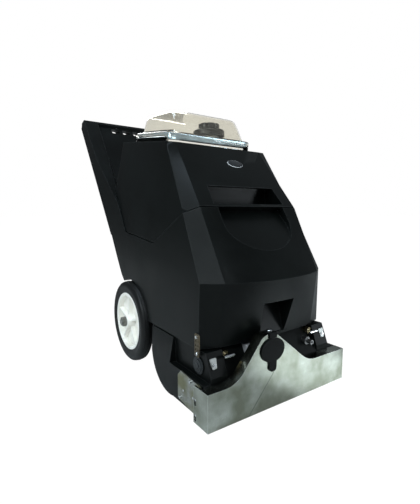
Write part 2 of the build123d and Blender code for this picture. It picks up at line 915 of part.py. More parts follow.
# Shouldered bolts that hold the shoe's ears and guide them.
with BuildPart() as shoe_bolts:
    for sign in (-1, 1):
        for height in ear_slot_heights:
            with BuildSketch(side_plane(sign * plate_inner_x)):
                with Locations((ear_slot_y, height)):
                    Circle(screw_radius)
            extrude(amount=sign * (shoe_half - plate_inner_x - 0.5))
            with BuildSketch(side_plane(sign * plate_outer_x)):
                with Locations((ear_slot_y, height)):
                    Circle(screw_radius + 3)
            extrude(amount=sign * (shoe_half - shoe_end_sheet - plate_outer_x - 0.5))
save(shoe_bolts.part, "shoe_bolts")

# ---------------------------------------------------------------- front fittings
strap_sheet = 2.0
strap_x = tank_half_width + 0.5
strap_y = 77.0
strap_foot = 138.0
strap_head = 192.0
strap_bolt_heights = (145.0, 185.0)
with BuildPart() as tie_strap:
    with BuildSketch(side_plane(-strap_x)):
        with Locations((strap_y, (strap_foot + strap_head) / 2)):
            RectangleRounded(20, strap_head - strap_foot, 5)
            with GridLocations(10, 10, 2, 3):
                Circle(2.2, mode=Mode.SUBTRACT)
        with Locations(*[(strap_y, height) for height in strap_bolt_heights]):
            Circle(screw_radius, mode=Mode.SUBTRACT)
    extrude(amount=-strap_sheet)
save(tie_strap.part, "tie_strap")

wing_lean = atan2(wing_top - base_front, base_top - wing_nose_height)


def wing_face(x):
    """On the leaning front face of a wing, near its top."""
    y = nose + base_front + (wing_top - base_front) * 0.55
    z = wing_nose_height + (base_top - wing_nose_height) * 0.55
    return Plane(origin=(x, y, z), x_dir=(1, 0, 0), z_dir=(0, -cos(wing_lean), sin(wing_lean)))


bracket_x = 186.0
with BuildPart() as corner_brackets:
    for sign in (-1, 1):
        with BuildSketch(wing_face(sign * bracket_x)) as bracket:
            with BuildLine():
                Polyline((-10, 12), (10, 12), (6, -12), (-6, -12), close=True)
            make_face()
            fillet(bracket.vertices(), 3)
            with Locations((0, -3)):
                Circle(screw_radius, mode=Mode.SUBTRACT)
        extrude(amount=strap_sheet)
save(corner_brackets.part, "corner_brackets")

# Pan-head screws of the side plates, straps and brackets.
head_radius = 4.5
head_height = 3.0
with BuildPart() as side_screws:
    for sign in (-1, 1):
        for y, z in plate_screw_places:
            with BuildSketch(side_plane(sign * plate_inner_x)):
                with Locations((y, z)):
                    Circle(screw_radius)
            extrude(amount=sign * sheet)
            with BuildSketch(side_plane(sign * plate_outer_x)):
                with Locations((y, z)):
                    Circle(head_radius)
            extrude(amount=sign * head_height, taper=20)
        with BuildSketch(wing_face(sign * bracket_x)):
            with Locations((0, -3)):
                Circle(screw_radius)
        extrude(amount=strap_sheet)
        with BuildSketch(wing_face(sign * bracket_x).offset(strap_sheet)):
            with Locations((0, -3)):
                Circle(head_radius)
        extrude(amount=head_height, taper=20)
    for height in strap_bolt_heights:
        reach = wing_outer_x if height < base_top else strap_x
        with BuildSketch(side_plane(-reach)):
            with Locations((strap_y, height)):
                Circle(screw_radius)
        extrude(amount=reach - strap_x - strap_sheet)
        with BuildSketch(side_plane(-strap_x - strap_sheet)):
            with Locations((strap_y, height)):
                Circle(head_radius)
        extrude(amount=-head_height, taper=20)
save(side_screws.part, "side_screws")

# Sprung pull pins with T handles; each slides in a guide through the deck.
pin_radius = 3.0
handle_y = 37.0
guide_front = 52.0
guide_back = 80.0
pin_travel = 10.0
for side, sign in (("left", -1), ("right", 1)):
    with BuildPart() as pull_pin:
        with BuildSketch(front_plane(guide_back + 14)):
            with Locations((sign * pin_x, pin_height)):
                Circle(pin_radius)
        extrude(amount=guide_back + 14 - handle_y)
        with BuildSketch(side_plane(sign * pin_x - 14)):
            with Locations((handle_y, pin_height)):
                Circle(3.5)
        extrude(amount=28)
    save(pull_pin.part, f"pull_pin_{side}")

with BuildPart() as pin_guides:
    for sign in (-1, 1):
        with BuildSketch(front_plane(guide_back)):
            with Locations((sign * pin_x, pin_height)):
                Circle(guide_radius)
                Circle(pin_radius + running_fit, mode=Mode.SUBTRACT)
        extrude(amount=guide_back - guide_front)
save(pin_guides.part, "pin_guides")

# Quick coupler for a hand tool's solution hose: a nipple, a ring and a body.
nipple_radius = 6.0
with BuildPart() as quick_coupler:
    for back, front, radius in (
        (64, 40, coupler_radius),
        (45, 40, coupler_radius + 2.5),
        (40, 24, nipple_radius),
    ):
        with BuildSketch(front_plane(back)):
            with Locations((coupler_x, coupler_height)):
                Circle(radius)
        extrude(amount=back - front)
    with BuildSketch(front_plane(44)):
        with Locations((coupler_x, coupler_height)):
            Circle(3.5)
    extrude(amount=30, mode=Mode.SUBTRACT)
save(quick_coupler.part, "quick_coupler")

# ---------------------------------------------------------------- air and water paths
riser_radius = inlet_pipe_radius - 2
with BuildPart() as recovery_duct:
    add(duct_box())
    add(pipe(inlet_x, inlet_y, riser_radius, duct_roof - duct_wall, inlet_pipe_foot - seal_height - loose_fit))
    with BuildSketch(plan_plane(duct_floor + duct_wall)):
        with Locations((inlet_x, (duct_front + duct_back) / 2)):
            RectangleRounded(duct_width - 2 * duct_wall, duct_back - duct_front - 2 * duct_wall, 4)
    extrude(amount=duct_roof - duct_floor - 2 * duct_wall, mode=Mode.SUBTRACT)
    with BuildSketch(plan_plane(duct_roof - 10)):
        with Locations((inlet_x, inlet_y)):
            Circle(riser_radius - pipe_wall)
    extrude(amount=20, mode=Mode.SUBTRACT)
    with BuildSketch(front_plane(duct_front + 10)):
        with Locations((inlet_x, (duct_floor + duct_roof) / 2)):
            RectangleRounded(2 * hose_radius + 10, duct_roof - duct_floor - 2 * duct_wall, 5)
    extrude(amount=20, mode=Mode.SUBTRACT)
save(recovery_duct.part, "recovery_duct")

motor_case_radius = 55.0
tray_height = 78.0
motor_foot = tray_height + sheet
case_top = 208.0
riser_top = suction_pipe_foot - seal_height - loose_fit
save(pipe(suction_x, suction_y, suction_pipe_radius, case_top, riser_top), "air_riser")

with BuildPart() as tank_seals:
    with BuildSketch(plan_plane(suction_pipe_foot - seal_height)):
        with Locations((suction_x, suction_y)):
            Circle(suction_pipe_radius)
            Circle(suction_pipe_radius - pipe_wall, mode=Mode.SUBTRACT)
    extrude(amount=seal_height)
    with BuildSketch(plan_plane(inlet_pipe_foot - seal_height)):
        with Locations((inlet_x, inlet_y)):
            Circle(inlet_pipe_radius)
            Circle(riser_radius - pipe_wall, mode=Mode.SUBTRACT)
    extrude(amount=seal_height)
save(tank_seals.part, "tank_seals")

# Vacuum motor: a can below, a wide fan case above.
fan_floor = 150.0
fan_shaft_radius = 5.0
with BuildPart() as vacuum_motor:
    for foot, head, radius in ((motor_foot, fan_floor - 6, 42), (fan_floor - 6, case_top, motor_case_radius)):
        with BuildSketch(plan_plane(foot)):
            with Locations((suction_x, suction_y)):
                Circle(radius)
        extrude(amount=head - foot)
    with BuildSketch(plan_plane(fan_floor)):
        with Locations((suction_x, suction_y)):
            Circle(motor_case_radius - 3)
    extrude(amount=case_top - 4 - fan_floor, mode=Mode.SUBTRACT)
    with BuildSketch(plan_plane(case_top - 10)):
        with Locations((suction_x, suction_y)):
            Circle(suction_pipe_radius - pipe_wall)
    extrude(amount=20, mode=Mode.SUBTRACT)
    with BuildSketch(plan_plane(fan_floor - 30)):
        with Locations((suction_x, suction_y)):
            Circle(fan_shaft_radius + running_fit)
    extrude(amount=40, mode=Mode.SUBTRACT)
save(vacuum_motor.part, "vacuum_motor")

with BuildPart() as vacuum_fan:
    with BuildSketch(plan_plane(fan_floor - 29)):
        with Locations((suction_x, suction_y)):
            Circle(fan_shaft_radius)
    extrude(amount=70)
    for height in (fan_floor + 4, fan_floor + 36):
        with BuildSketch(plan_plane(height)):
            with Locations((suction_x, suction_y)):
                Circle(46)
        extrude(amount=3)
    with BuildSketch(plan_plane(fan_floor + 4)):
        with Locations((suction_x, suction_y)):
            with PolarLocations(26, 8):
                Rectangle(36, 3)
    extrude(amount=34)
save(vacuum_fan.part, "vacuum_fan")

# ---------------------------------------------------------------- rear frame and wheels
frame_front = 312.0
frame_back = 500.0
frame_head = 190.0
with BuildPart() as rear_frame:
    with BuildSketch(plan_plane(tray_height)):
        with Locations((0, (frame_front + frame_back) / 2)):
            Rectangle(2 * bay_half_width, frame_back - frame_front)
    extrude(amount=sheet)
    for sign in (-1, 1):
        with BuildSketch(side_plane(sign * (bay_half_width - sheet))) as flange:
            with BuildLine():
                Polyline(
                    (frame_front, tray_height),
                    (frame_back, tray_height),
                    (frame_back, 150),
                    (axle_setback - 40, frame_head),
                    (frame_front, frame_head),
                    close=True,
                )
            make_face()
            with Locations((axle_setback, wheel_radius)):
                Circle(axle_radius, mode=Mode.SUBTRACT)
        extrude(amount=sign * sheet)
save(rear_frame.part, "rear_frame")

with BuildPart() as frame_bolts:
    for sign in (-1, 1):
        with BuildSketch(side_plane(sign * (bay_half_width - sheet))):
            with Locations((340, 172), (380, 172)):
                RegularPolygon(6.5, 6)
        extrude(amount=sign * -5)
save(frame_bolts.part, "frame_bolts")

axle_centre = (0, nose + axle_setback, wheel_radius)
axle_line = Axis(axle_centre, (1, 0, 0))
hub_outer_x = tyre_outer_x + 4
hub_inner_x = bay_half_width + 9
washer_sheet = 2.0
nut_height = 10.0
axle_half = hub_outer_x + washer_sheet + nut_height + 3
with BuildPart() as axle:
    with BuildSketch(side_plane(-axle_half)):
        with Locations((axle_setback, wheel_radius)):
            Circle(axle_radius)
    extrude(amount=2 * axle_half)
    chamfer(axle.edges(), 1.5)
save(axle.part, "axle")

with BuildPart() as axle_washers:
    for sign in (-1, 1):
        for start, length in ((hub_outer_x + 0.2, washer_sheet - 0.2), (bay_half_width, 8.7)):
            with BuildSketch(side_plane(sign * start)):
                with Locations((axle_setback, wheel_radius)):
                    Circle(15)
                    Circle(axle_radius, mode=Mode.SUBTRACT)
            extrude(amount=sign * length)
save(axle_washers.part, "axle_washers")

with BuildPart() as axle_nuts:
    for sign in (-1, 1):
        with BuildSketch(side_plane(sign * (hub_outer_x + washer_sheet))):
            with Locations((axle_setback, wheel_radius)):
                RegularPolygon(15, 6)
                Circle(axle_radius, mode=Mode.SUBTRACT)
        extrude(amount=sign * nut_height)
save(axle_nuts.part, "axle_nuts")

# Plastic rims: a deep outer ring, a dished web, five ribs and a long hub.
rim_rib_count = 5
hub_radius = 21.0
rim_lip = 8.0
web_x = tyre_inner_x + 14
for side, sign in (("left", -1), ("right", 1)):
    section = Plane(origin=axle_centre, x_dir=(sign, 0, 0), z_dir=(0, -sign, 0))
    with BuildPart() as tyre:
        with BuildSketch(section) as cut:
            with Locations(((tyre_inner_x + tyre_outer_x) / 2, (rim_radius + wheel_radius) / 2)):
                RectangleRounded(tyre_width, wheel_radius - rim_radius, 7)
            with Locations((tyre_inner_x + 12, wheel_radius), (tyre_outer_x - 12, wheel_radius)):
                Rectangle(2, 3, mode=Mode.SUBTRACT)
        revolve(axis=axle_line)
    save(tyre.part, f"tyre_{side}")

    with BuildPart() as rim:
        with BuildSketch(section):
            with Locations(((tyre_inner_x + tyre_outer_x) / 2, rim_radius - rim_lip / 2)):
                Rectangle(tyre_width - 5, rim_lip)
            with Locations((web_x, (rim_radius - rim_lip + hub_radius) / 2)):
                Rectangle(5, rim_radius - rim_lip - hub_radius + 4)
            hub_foot = axle_radius + running_fit
            with Locations(((hub_inner_x + hub_outer_x) / 2, (hub_foot + hub_radius) / 2)):
                Rectangle(hub_outer_x - hub_inner_x, hub_radius - hub_foot)
        revolve(axis=axle_line)
        with BuildSketch(side_plane(sign * web_x)):
            with Locations((axle_setback, wheel_radius)):
                with PolarLocations((rim_radius - rim_lip + hub_radius) / 2, rim_rib_count, 90):
                    Rectangle(rim_radius - rim_lip - hub_radius + 2, 7)
        extrude(amount=sign * (tyre_outer_x - 7 - web_x))
    save(rim.part, f"rim_{side}")

# ---------------------------------------------------------------- brush and its drive
brush_height = 56.0
brush_centre = (brush_setback, brush_height)
core_radius = 22.0
shaft_radius = 8.0
arm_x = 176.0
bush_radius = 13.0
pulley_inner_x = 184.0
pulley_width = 8.0
brush_pulley_radius = 24.0
motor_pulley_radius = 16.0
motor_centre = (228.0, 102.0)
motor_shaft_radius = 6.0
brush_half = brush_length / 2

with BuildPart() as brush_core:
    for start, end, radius in (
        (-brush_half, brush_half, core_radius),
        (-arm_x - sheet - 3, pulley_inner_x + pulley_width + 1, shaft_radius),
    ):
        with BuildSketch(side_plane(start)):
            with Locations(brush_centre):
                Circle(radius)
        extrude(amount=end - start)
save(brush_core.part, "brush_core")

with BuildPart() as brush_bristles:
    with BuildSketch(side_plane(-brush_half)):
        with Locations(brush_centre):
            Circle(brush_radius)
            Circle(core_radius, mode=Mode.SUBTRACT)
            with PolarLocations((brush_radius + core_radius) / 2, 12, 15):
                Rectangle(brush_radius - core_radius - 6, 7, mode=Mode.SUBTRACT)
    extrude(amount=brush_length)
save(brush_bristles.part, "brush_bristles")

with BuildPart() as brush_arms:
    for sign in (-1, 1):
        with BuildSketch(side_plane(sign * arm_x)):
            with BuildLine():
                Polyline(
                    (brush_setback - 20, brush_height),
                    (brush_setback + 20, brush_height),
                    (brush_setback + 24, base_top - base_wall),
                    (brush_setback - 20, base_top - base_wall),
                    close=True,
                )
            make_face()
            with Locations(brush_centre):
                Circle(20)
                Circle(bush_radius, mode=Mode.SUBTRACT)
        extrude(amount=sign * sheet)
save(brush_arms.part, "brush_arms")

with BuildPart() as brush_bushes:
    for sign in (-1, 1):
        with BuildSketch(side_plane(sign * (arm_x - 2))):
            with Locations(brush_centre):
                Circle(bush_radius)
                Circle(shaft_radius + running_fit, mode=Mode.SUBTRACT)
        extrude(amount=sign * (sheet + 4))
save(brush_bushes.part, "brush_bushes")


def pulley(centre, radius, bore):
    with BuildPart() as wheel:
        with BuildSketch(side_plane(pulley_inner_x)):
            with Locations(centre):
                Circle(radius)
                Circle(bore, mode=Mode.SUBTRACT)
        extrude(amount=pulley_width)
    return wheel.part


save(pulley(brush_centre, brush_pulley_radius, shaft_radius), "brush_pulley")

belt_clear = 0.3
belt_thick = 3.0
with BuildPart() as drive_belt:
    with BuildSketch(side_plane(pulley_inner_x + 0.5)):
        for grow, mode in ((belt_clear + belt_thick, Mode.ADD), (belt_clear, Mode.SUBTRACT)):
            with BuildSketch(mode=mode):
                with Locations(brush_centre):
                    Circle(brush_pulley_radius + grow)
                with Locations(motor_centre):
                    Circle(motor_pulley_radius + grow)
                make_hull()
    extrude(amount=pulley_width - 1)
save(drive_belt.part, "drive_belt")

motor_inner_x = 40.0
motor_outer_x = 168.0
motor_radius = 40.0
with BuildPart() as brush_motor:
    with BuildSketch(side_plane(motor_inner_x)):
        with Locations(motor_centre):
            Circle(motor_radius)
    extrude(amount=motor_outer_x - motor_inner_x)
    chamfer(brush_motor.edges(), 3)
    with BuildSketch(side_plane(motor_outer_x - 20)):
        with Locations(motor_centre):
            Circle(motor_shaft_radius + running_fit)
    extrude(amount=20, mode=Mode.SUBTRACT)
save(brush_motor.part, "brush_motor")

with BuildPart() as motor_pulley:
    add(pulley(motor_centre, motor_pulley_radius, motor_shaft_radius))
    with BuildSketch(side_plane(motor_outer_x - 19)):
        with Locations(motor_centre):
            Circle(motor_shaft_radius)
    extrude(amount=pulley_inner_x + pulley_width - motor_outer_x + 19)
save(motor_pulley.part, "motor_pulley")

with BuildPart() as motor_saddle:
    with BuildSketch(side_plane(motor_inner_x + 20)):
        with Locations(((bulkhead_y + bulkhead_sheet + motor_centre[0]) / 2, motor_centre[1])):
            Rectangle(motor_centre[0] - bulkhead_y - bulkhead_sheet, 40)
        with Locations(motor_centre):
            Circle(motor_radius, mode=Mode.SUBTRACT)
    extrude(amount=motor_outer_x - motor_inner_x - 40)
save(motor_saddle.part, "motor_saddle")

# ---------------------------------------------------------------- solution pump and spray
pump_back = 240.0
with BuildPart() as solution_pump:
    with BuildSketch(front_plane(pump_back)):
        with Locations((pump_x, 80)):
            RectangleRounded(56, 60, 6)
    extrude(amount=pump_back - bulkhead_y - bulkhead_sheet)
    with BuildSketch(front_plane(bulkhead_y + bulkhead_sheet)):
        with Locations((pump_x, spray_height)):
            Circle(spigot_radius)
    extrude(amount=bulkhead_sheet)
save(solution_pump.part, "solution_pump")

spray_radius = 6.0
spray_half = 150.0
with BuildPart() as spray_bar:
    with BuildSketch(side_plane(-spray_half)):
        with Locations((spray_y, spray_height)):
            Circle(spray_radius)
            Circle(spray_radius - 1.5, mode=Mode.SUBTRACT)
    extrude(amount=2 * spray_half)
save(spray_bar.part, "spray_bar")

with BuildPart() as spray_nozzles:
    for x in (pump_x, 0, -pump_x):
        with BuildSketch(plan_plane(spray_height - 8)):
            with Locations((x, (bulkhead_y + spray_y - 8) / 2)):
                Rectangle(16, bulkhead_y - spray_y + 8)
        extrude(amount=16)
        with BuildSketch(plan_plane(spray_height - 8)):
            with Locations((x, spray_y)):
                Circle(6)
        extrude(amount=-10, taper=15)
    with BuildSketch(side_plane(-spray_half)):
        with Locations((spray_y, spray_height)):
            Circle(spray_radius)
    extrude(amount=2 * spray_half, mode=Mode.SUBTRACT)
save(spray_nozzles.part, "spray_nozzles")

# ---------------------------------------------------------------- console back
# A thin cover closes the back of the console and carries the switches.
cover_skin = 3.0
cover_foot = 164.0
switch_row = back_length - 95
switch_pitch = 56.0
switch_width = 21.0
switch_length = 33.0
inlet_row = back_length - 300
inlet_hole = 12.0
screw_inset = 14.0
cover_middle = (cover_foot + back_length) / 2
cover_length = back_length - cover_foot


def switch_windows(grow):
    with BuildSketch() as windows:
        with Locations((0, switch_row)):
            with GridLocations(switch_pitch, 0, 3, 1):
                Rectangle(switch_width + 2 * grow, switch_length + 2 * grow)
    return windows.sketch


rocker_pivot = up_the_back(switch_row, -cover_thick - 0.5)
rocker_pin_radius = 1.5
rocker_pin_half = switch_width / 2 + 2

with BuildPart() as rear_cover:
    with BuildSketch(back_plane(0)) as cover_outline:
        with Locations((0, cover_middle)):
            Rectangle(2 * console_half_width, cover_length)
        fillet(cover_outline.vertices().group_by(Axis.Y)[-1], 12)
    extrude(amount=cover_thick)
    with BuildSketch(back_plane(0)):
        with Locations((0, (console_bay_foot + console_bay_head) / 2)):
            Rectangle(2 * console_bay_half, console_bay_head - console_bay_foot)
    extrude(amount=cover_thick - cover_skin, mode=Mode.SUBTRACT)
    # Raised frames round the switches.
    with BuildSketch(back_plane(-cover_thick)):
        add(switch_windows(3))
    extrude(amount=3)
    with BuildSketch(back_plane(console_depth)):
        add(switch_windows(0))
        with Locations((-switch_pitch * 1.8, inlet_row)):
            Circle(inlet_hole)
    extrude(amount=60, mode=Mode.SUBTRACT)
    for column in (-1, 0, 1):
        with BuildSketch(side_plane(column * switch_pitch - rocker_pin_half - 0.3)):
            with Locations(rocker_pivot):
                Circle(rocker_pin_radius + running_fit)
        extrude(amount=2 * rocker_pin_half + 0.6, mode=Mode.SUBTRACT)
    add(hand_slots(), mode=Mode.SUBTRACT)
save(rear_cover.part, "rear_cover")

screw_columns = 2 * (console_half_width - screw_inset)
with BuildPart() as cover_screws:
    with BuildSketch(back_plane(-cover_thick)):
        with Locations((0, cover_middle - 10)):
            with GridLocations(screw_columns, (cover_length - 80) / 2, 2, 3):
                Circle(head_radius)
    extrude(amount=2.5, taper=20)
save(cover_screws.part, "cover_screws")

# Rocker switches, each tilted about a pivot in the middle of its window.
rocker_gap = 0.6
rocker_face = 4.5
rocker_tail = 9.0
rocker_throw = radians(8)
for name, column in (("brush_switch", 1), ("vacuum_switch", 0), ("pump_switch", -1)):
    tilt = rake + rocker_throw
    origin = (
        -column * switch_pitch,
        nose + rocker_pivot[0] + rocker_face * cos(tilt),
        rocker_pivot[1] - rocker_face * sin(tilt),
    )
    face = Plane(origin=origin, x_dir=(-1, 0, 0), z_dir=(0, cos(tilt), -sin(tilt)))
    with BuildPart() as rocker:
        with BuildSketch(face):
            Rectangle(switch_width - 2 * rocker_gap, switch_length - 2 * rocker_gap - 3)
        extrude(amount=-rocker_tail, taper=14)
        with BuildSketch(side_plane(-column * switch_pitch - rocker_pin_half)):
            with Locations(rocker_pivot):
                Circle(rocker_pin_radius)
        extrude(amount=2 * rocker_pin_half)
    save(rocker.part, name)

# Gland where the mains lead comes in.
with BuildPart() as cord_inlet:
    with BuildSketch(back_plane(2)):
        with Locations((-switch_pitch * 1.8, inlet_row)):
            Circle(inlet_hole)
    extrude(amount=cover_thick + 2)
    with BuildSketch(back_plane(-cover_thick)):
        with Locations((-switch_pitch * 1.8, inlet_row)):
            RegularPolygon(17, 6)
    extrude(amount=7)
    with BuildSketch(back_plane(-cover_thick - 7)):
        with Locations((-switch_pitch * 1.8, inlet_row)):
            Circle(12)
    extrude(amount=12, taper=12)
    with BuildSketch(back_plane(10)):
        with Locations((-switch_pitch * 1.8, inlet_row)):
            Circle(5)
    extrude(amount=60, mode=Mode.SUBTRACT)
save(cord_inlet.part, "cord_inlet")

# Screw cap of the solution tank's drain, low on the back.
with BuildPart() as drain_cap:
    with BuildSketch(back_plane(0)):
        with Locations((110, 95)):
            Circle(24)
            with PolarLocations(25, 16):
                Circle(1.6, mode=Mode.SUBTRACT)
    extrude(amount=18)
    with BuildSketch(back_plane(-18)):
        with Locations((110, 95)):
            Rectangle(36, 8)
    extrude(amount=6)
save(drain_cap.part, "drain_cap")
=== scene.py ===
import json
import math

import bmesh
import bpy
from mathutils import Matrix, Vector
from mathutils.bvhtree import BVHTree


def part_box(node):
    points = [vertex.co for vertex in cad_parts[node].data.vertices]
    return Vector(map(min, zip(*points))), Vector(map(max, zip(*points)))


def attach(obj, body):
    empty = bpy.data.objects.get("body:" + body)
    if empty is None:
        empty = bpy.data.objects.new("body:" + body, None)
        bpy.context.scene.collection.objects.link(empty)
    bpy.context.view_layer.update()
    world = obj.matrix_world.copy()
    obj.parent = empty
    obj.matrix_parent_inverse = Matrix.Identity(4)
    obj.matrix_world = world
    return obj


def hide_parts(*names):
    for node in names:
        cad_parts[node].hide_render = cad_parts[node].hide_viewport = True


# Walk-behind carpet extractor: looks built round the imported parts.
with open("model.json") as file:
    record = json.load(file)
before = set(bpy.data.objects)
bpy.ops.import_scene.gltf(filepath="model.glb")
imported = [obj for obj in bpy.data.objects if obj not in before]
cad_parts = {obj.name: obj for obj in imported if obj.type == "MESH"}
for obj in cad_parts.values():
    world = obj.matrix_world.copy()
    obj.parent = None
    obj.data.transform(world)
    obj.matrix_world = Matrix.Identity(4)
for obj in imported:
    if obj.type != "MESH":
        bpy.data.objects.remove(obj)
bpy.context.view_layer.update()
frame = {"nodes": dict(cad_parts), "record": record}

# ---------------------------------------------------------------- camera
# A low three-quarter view from the front and the machine's left-hand corner,
# at about half the machine's height.
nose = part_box("vacuum_shoe")[0].y
camera_data = bpy.data.cameras.new("camera")
camera_data.lens = 25.66
camera_data.sensor_width = 36.0
camera_data.shift_x = -0.0021
camera_data.shift_y = -0.0036
camera = bpy.data.objects.new("camera", camera_data)
camera.location = (-0.6309, nose - 0.5878, 0.4660)
camera.rotation_euler = (math.radians(83.96), 0, math.radians(-34.85))
bpy.context.scene.collection.objects.link(camera)
bpy.context.scene.camera = camera

# ---------------------------------------------------------------- floor and light
# A plain pale floor under soft lamps: high over the front left, at the left cheek, low
# on the right for the polished shoe, overhead, and behind for the edges.


def looked_at(tree, share):
    """A share of 1 for what is seen directly or through the clear dome, 0 for light."""
    path = tree.nodes.new("ShaderNodeLightPath")
    either = tree.nodes.new("ShaderNodeMath")
    either.operation = "MAXIMUM"
    tree.links.new(path.outputs["Is Camera Ray"], either.inputs[0])
    tree.links.new(path.outputs["Is Transmission Ray"], either.inputs[1])
    scaled = tree.nodes.new("ShaderNodeMath")
    scaled.operation = "MULTIPLY"
    tree.links.new(either.outputs["Value"], scaled.inputs[0])
    scaled.inputs[1].default_value = share
    return scaled.outputs["Value"]


floor_mesh = bpy.data.meshes.new("floor")
floor_mesh.from_pydata(
    [(-40, -40, 0), (40, -40, 0), (40, 40, 0), (-40, 40, 0)], [], [(0, 1, 2, 3)]
)
floor = bpy.data.objects.new("floor", floor_mesh)
bpy.context.scene.collection.objects.link(floor)
floor_material = bpy.data.materials.new("floor_paint")
floor_material.use_nodes = True
floor_shader = floor_material.node_tree.nodes["Principled BSDF"]
floor_shader.inputs["Base Color"].default_value = (0.60, 0.60, 0.59, 1)
floor_shader.inputs["Roughness"].default_value = 0.85
floor_shader.inputs["Specular IOR Level"].default_value = 0.1
floor_tree = floor_material.node_tree
white_floor = floor_tree.nodes.new("ShaderNodeEmission")
white_floor.inputs["Strength"].default_value = 1.05
floor_seen = floor_tree.nodes.new("ShaderNodeMixShader")
floor_tree.links.new(looked_at(floor_tree, 0.95), floor_seen.inputs["Fac"])
floor_tree.links.new(floor_shader.outputs["BSDF"], floor_seen.inputs[1])
floor_tree.links.new(white_floor.outputs["Emission"], floor_seen.inputs[2])
floor_tree.links.new(floor_seen.outputs["Shader"], floor_tree.nodes["Material Output"].inputs["Surface"])
floor_mesh.materials.append(floor_material)

world = bpy.data.worlds.new("studio")
world.use_nodes = True
sky = world.node_tree
# White to look at, but a darker room for the black plastic to reflect, lighter overhead.
room = sky.nodes.new("ShaderNodeTexCoord").outputs["Generated"]
split = sky.nodes.new("ShaderNodeSeparateXYZ")
sky.links.new(room, split.inputs["Vector"])
overhead = sky.nodes.new("ShaderNodeMapRange")
sky.links.new(split.outputs["Z"], overhead.inputs["Value"])
for label, number in (("From Min", -0.1), ("From Max", 0.75), ("To Min", 0.05), ("To Max", 0.34)):
    overhead.inputs[label].default_value = number
room_light = sky.nodes["Background"]
room_light.inputs["Color"].default_value = (0.86, 0.94, 1.0, 1)
sky.links.new(overhead.outputs["Result"], room_light.inputs["Strength"])
white_wall = sky.nodes.new("ShaderNodeBackground")
white_wall.inputs["Color"].default_value = (1, 1, 1, 1)
seen = sky.nodes.new("ShaderNodeMixShader")
sky.links.new(looked_at(sky, 1.0), seen.inputs["Fac"])
sky.links.new(room_light.outputs["Background"], seen.inputs[1])
sky.links.new(white_wall.outputs["Background"], seen.inputs[2])
sky.links.new(seen.outputs["Shader"], sky.nodes["World Output"].inputs["Surface"])
bpy.context.scene.world = world
bpy.context.scene.view_settings.view_transform = "Standard"


def soft_lamp(name, place, aim, size, power, colour):
    data = bpy.data.lights.new(name, "AREA")
    data.shape = "RECTANGLE"
    data.size, data.size_y = size
    data.energy = power
    data.color = colour
    lamp = bpy.data.objects.new(name, data)
    lamp.location = place
    lamp.rotation_euler = (Vector(aim) - Vector(place)).to_track_quat("-Z", "Y").to_euler()
    bpy.context.scene.collection.objects.link(lamp)


soft_lamp("key", (-1.2, -2.2, 2.4), (0, 0, 0.4), (1.4, 1.4), 42, (0.84, 0.95, 1.0))
soft_lamp("cheek", (-2.3, -0.7, 1.5), (0, -0.2, 0.4), (0.9, 1.4), 30, (0.84, 0.94, 1.0))
soft_lamp("shoe_side", (1.5, -1.9, 0.35), (0, -0.4, 0.2), (0.5, 0.6), 12, (0.86, 0.94, 1.0))
soft_lamp("overhead", (-0.75, -0.1, 2.8), (-0.1, -0.2, 0.5), (0.9, 0.9), 26, (0.72, 0.87, 1.0))
# A pool of light on the floor before the shoe, which its polished face mirrors.
pool_data = bpy.data.lights.new("shoe_pool", "SPOT")
pool_data.energy = 380
pool_data.spot_size = math.radians(13)
pool_data.spot_blend = 0.7
pool_data.shadow_soft_size = 0.05
pool_data.color = (0.84, 0.95, 1.0)
pool = bpy.data.objects.new("shoe_pool", pool_data)
pool.location = (0.55, nose - 0.85, 1.5)
pool.rotation_euler = (Vector((0.22, nose - 0.13, 0)) - pool.location).to_track_quat("-Z", "Y").to_euler()
bpy.context.scene.collection.objects.link(pool)
soft_lamp("back_edge", (0.6, 2.2, 2.2), (0, 0.2, 0.5), (1.6, 1.0), 40, (0.95, 0.98, 1.0))

# ---------------------------------------------------------------- moulded tanks
# The lower tank with its console and the lift-out upper tank are thick black
# rotomoulded plastic: every edge is rounded, and the skin has the faint orange peel
# and rub marks of such mouldings. Its lighter edges are partly rubbed wear and partly
# painted highlight.


def node_group(name, inputs, outputs):
    """An empty shader group with number inputs and typed outputs."""
    group = bpy.data.node_groups.new(name, "ShaderNodeTree")
    for label, kind, value in inputs:
        socket = group.interface.new_socket(label, in_out="INPUT", socket_type=kind)
        if value is not None:
            socket.default_value = value
    for label, kind in outputs:
        group.interface.new_socket(label, in_out="OUTPUT", socket_type=kind)
    return group, group.nodes.new("NodeGroupInput"), group.nodes.new("NodeGroupOutput")


def wire(tree, source, target):
    """Links a socket, or sets a plain value."""
    if isinstance(source, bpy.types.NodeSocket):
        tree.links.new(source, target)
    else:
        target.default_value = source


def noise(tree, place, scale, detail=2.0, stretch=None):
    """Noise from 0 to 1 over a place, stretched along an axis if asked."""
    if stretch:
        mapping = tree.nodes.new("ShaderNodeMapping")
        wire(tree, place, mapping.inputs["Vector"])
        mapping.inputs["Scale"].default_value = stretch
        place = mapping.outputs["Vector"]
    node = tree.nodes.new("ShaderNodeTexNoise")
    wire(tree, place, node.inputs["Vector"])
    wire(tree, scale, node.inputs["Scale"])
    node.inputs["Detail"].default_value = detail
    return node.outputs["Fac"]


def remap(tree, value, low, high, new_low, new_high):
    node = tree.nodes.new("ShaderNodeMapRange")
    wire(tree, value, node.inputs["Value"])
    for label, number in (("From Min", low), ("From Max", high), ("To Min", new_low), ("To Max", new_high)):
        wire(tree, number, node.inputs[label])
    return node.outputs["Result"]


def calc(tree, operation, first, second):
    node = tree.nodes.new("ShaderNodeMath")
    node.operation = operation
    wire(tree, first, node.inputs[0])
    wire(tree, second, node.inputs[1])
    return node.outputs["Value"]


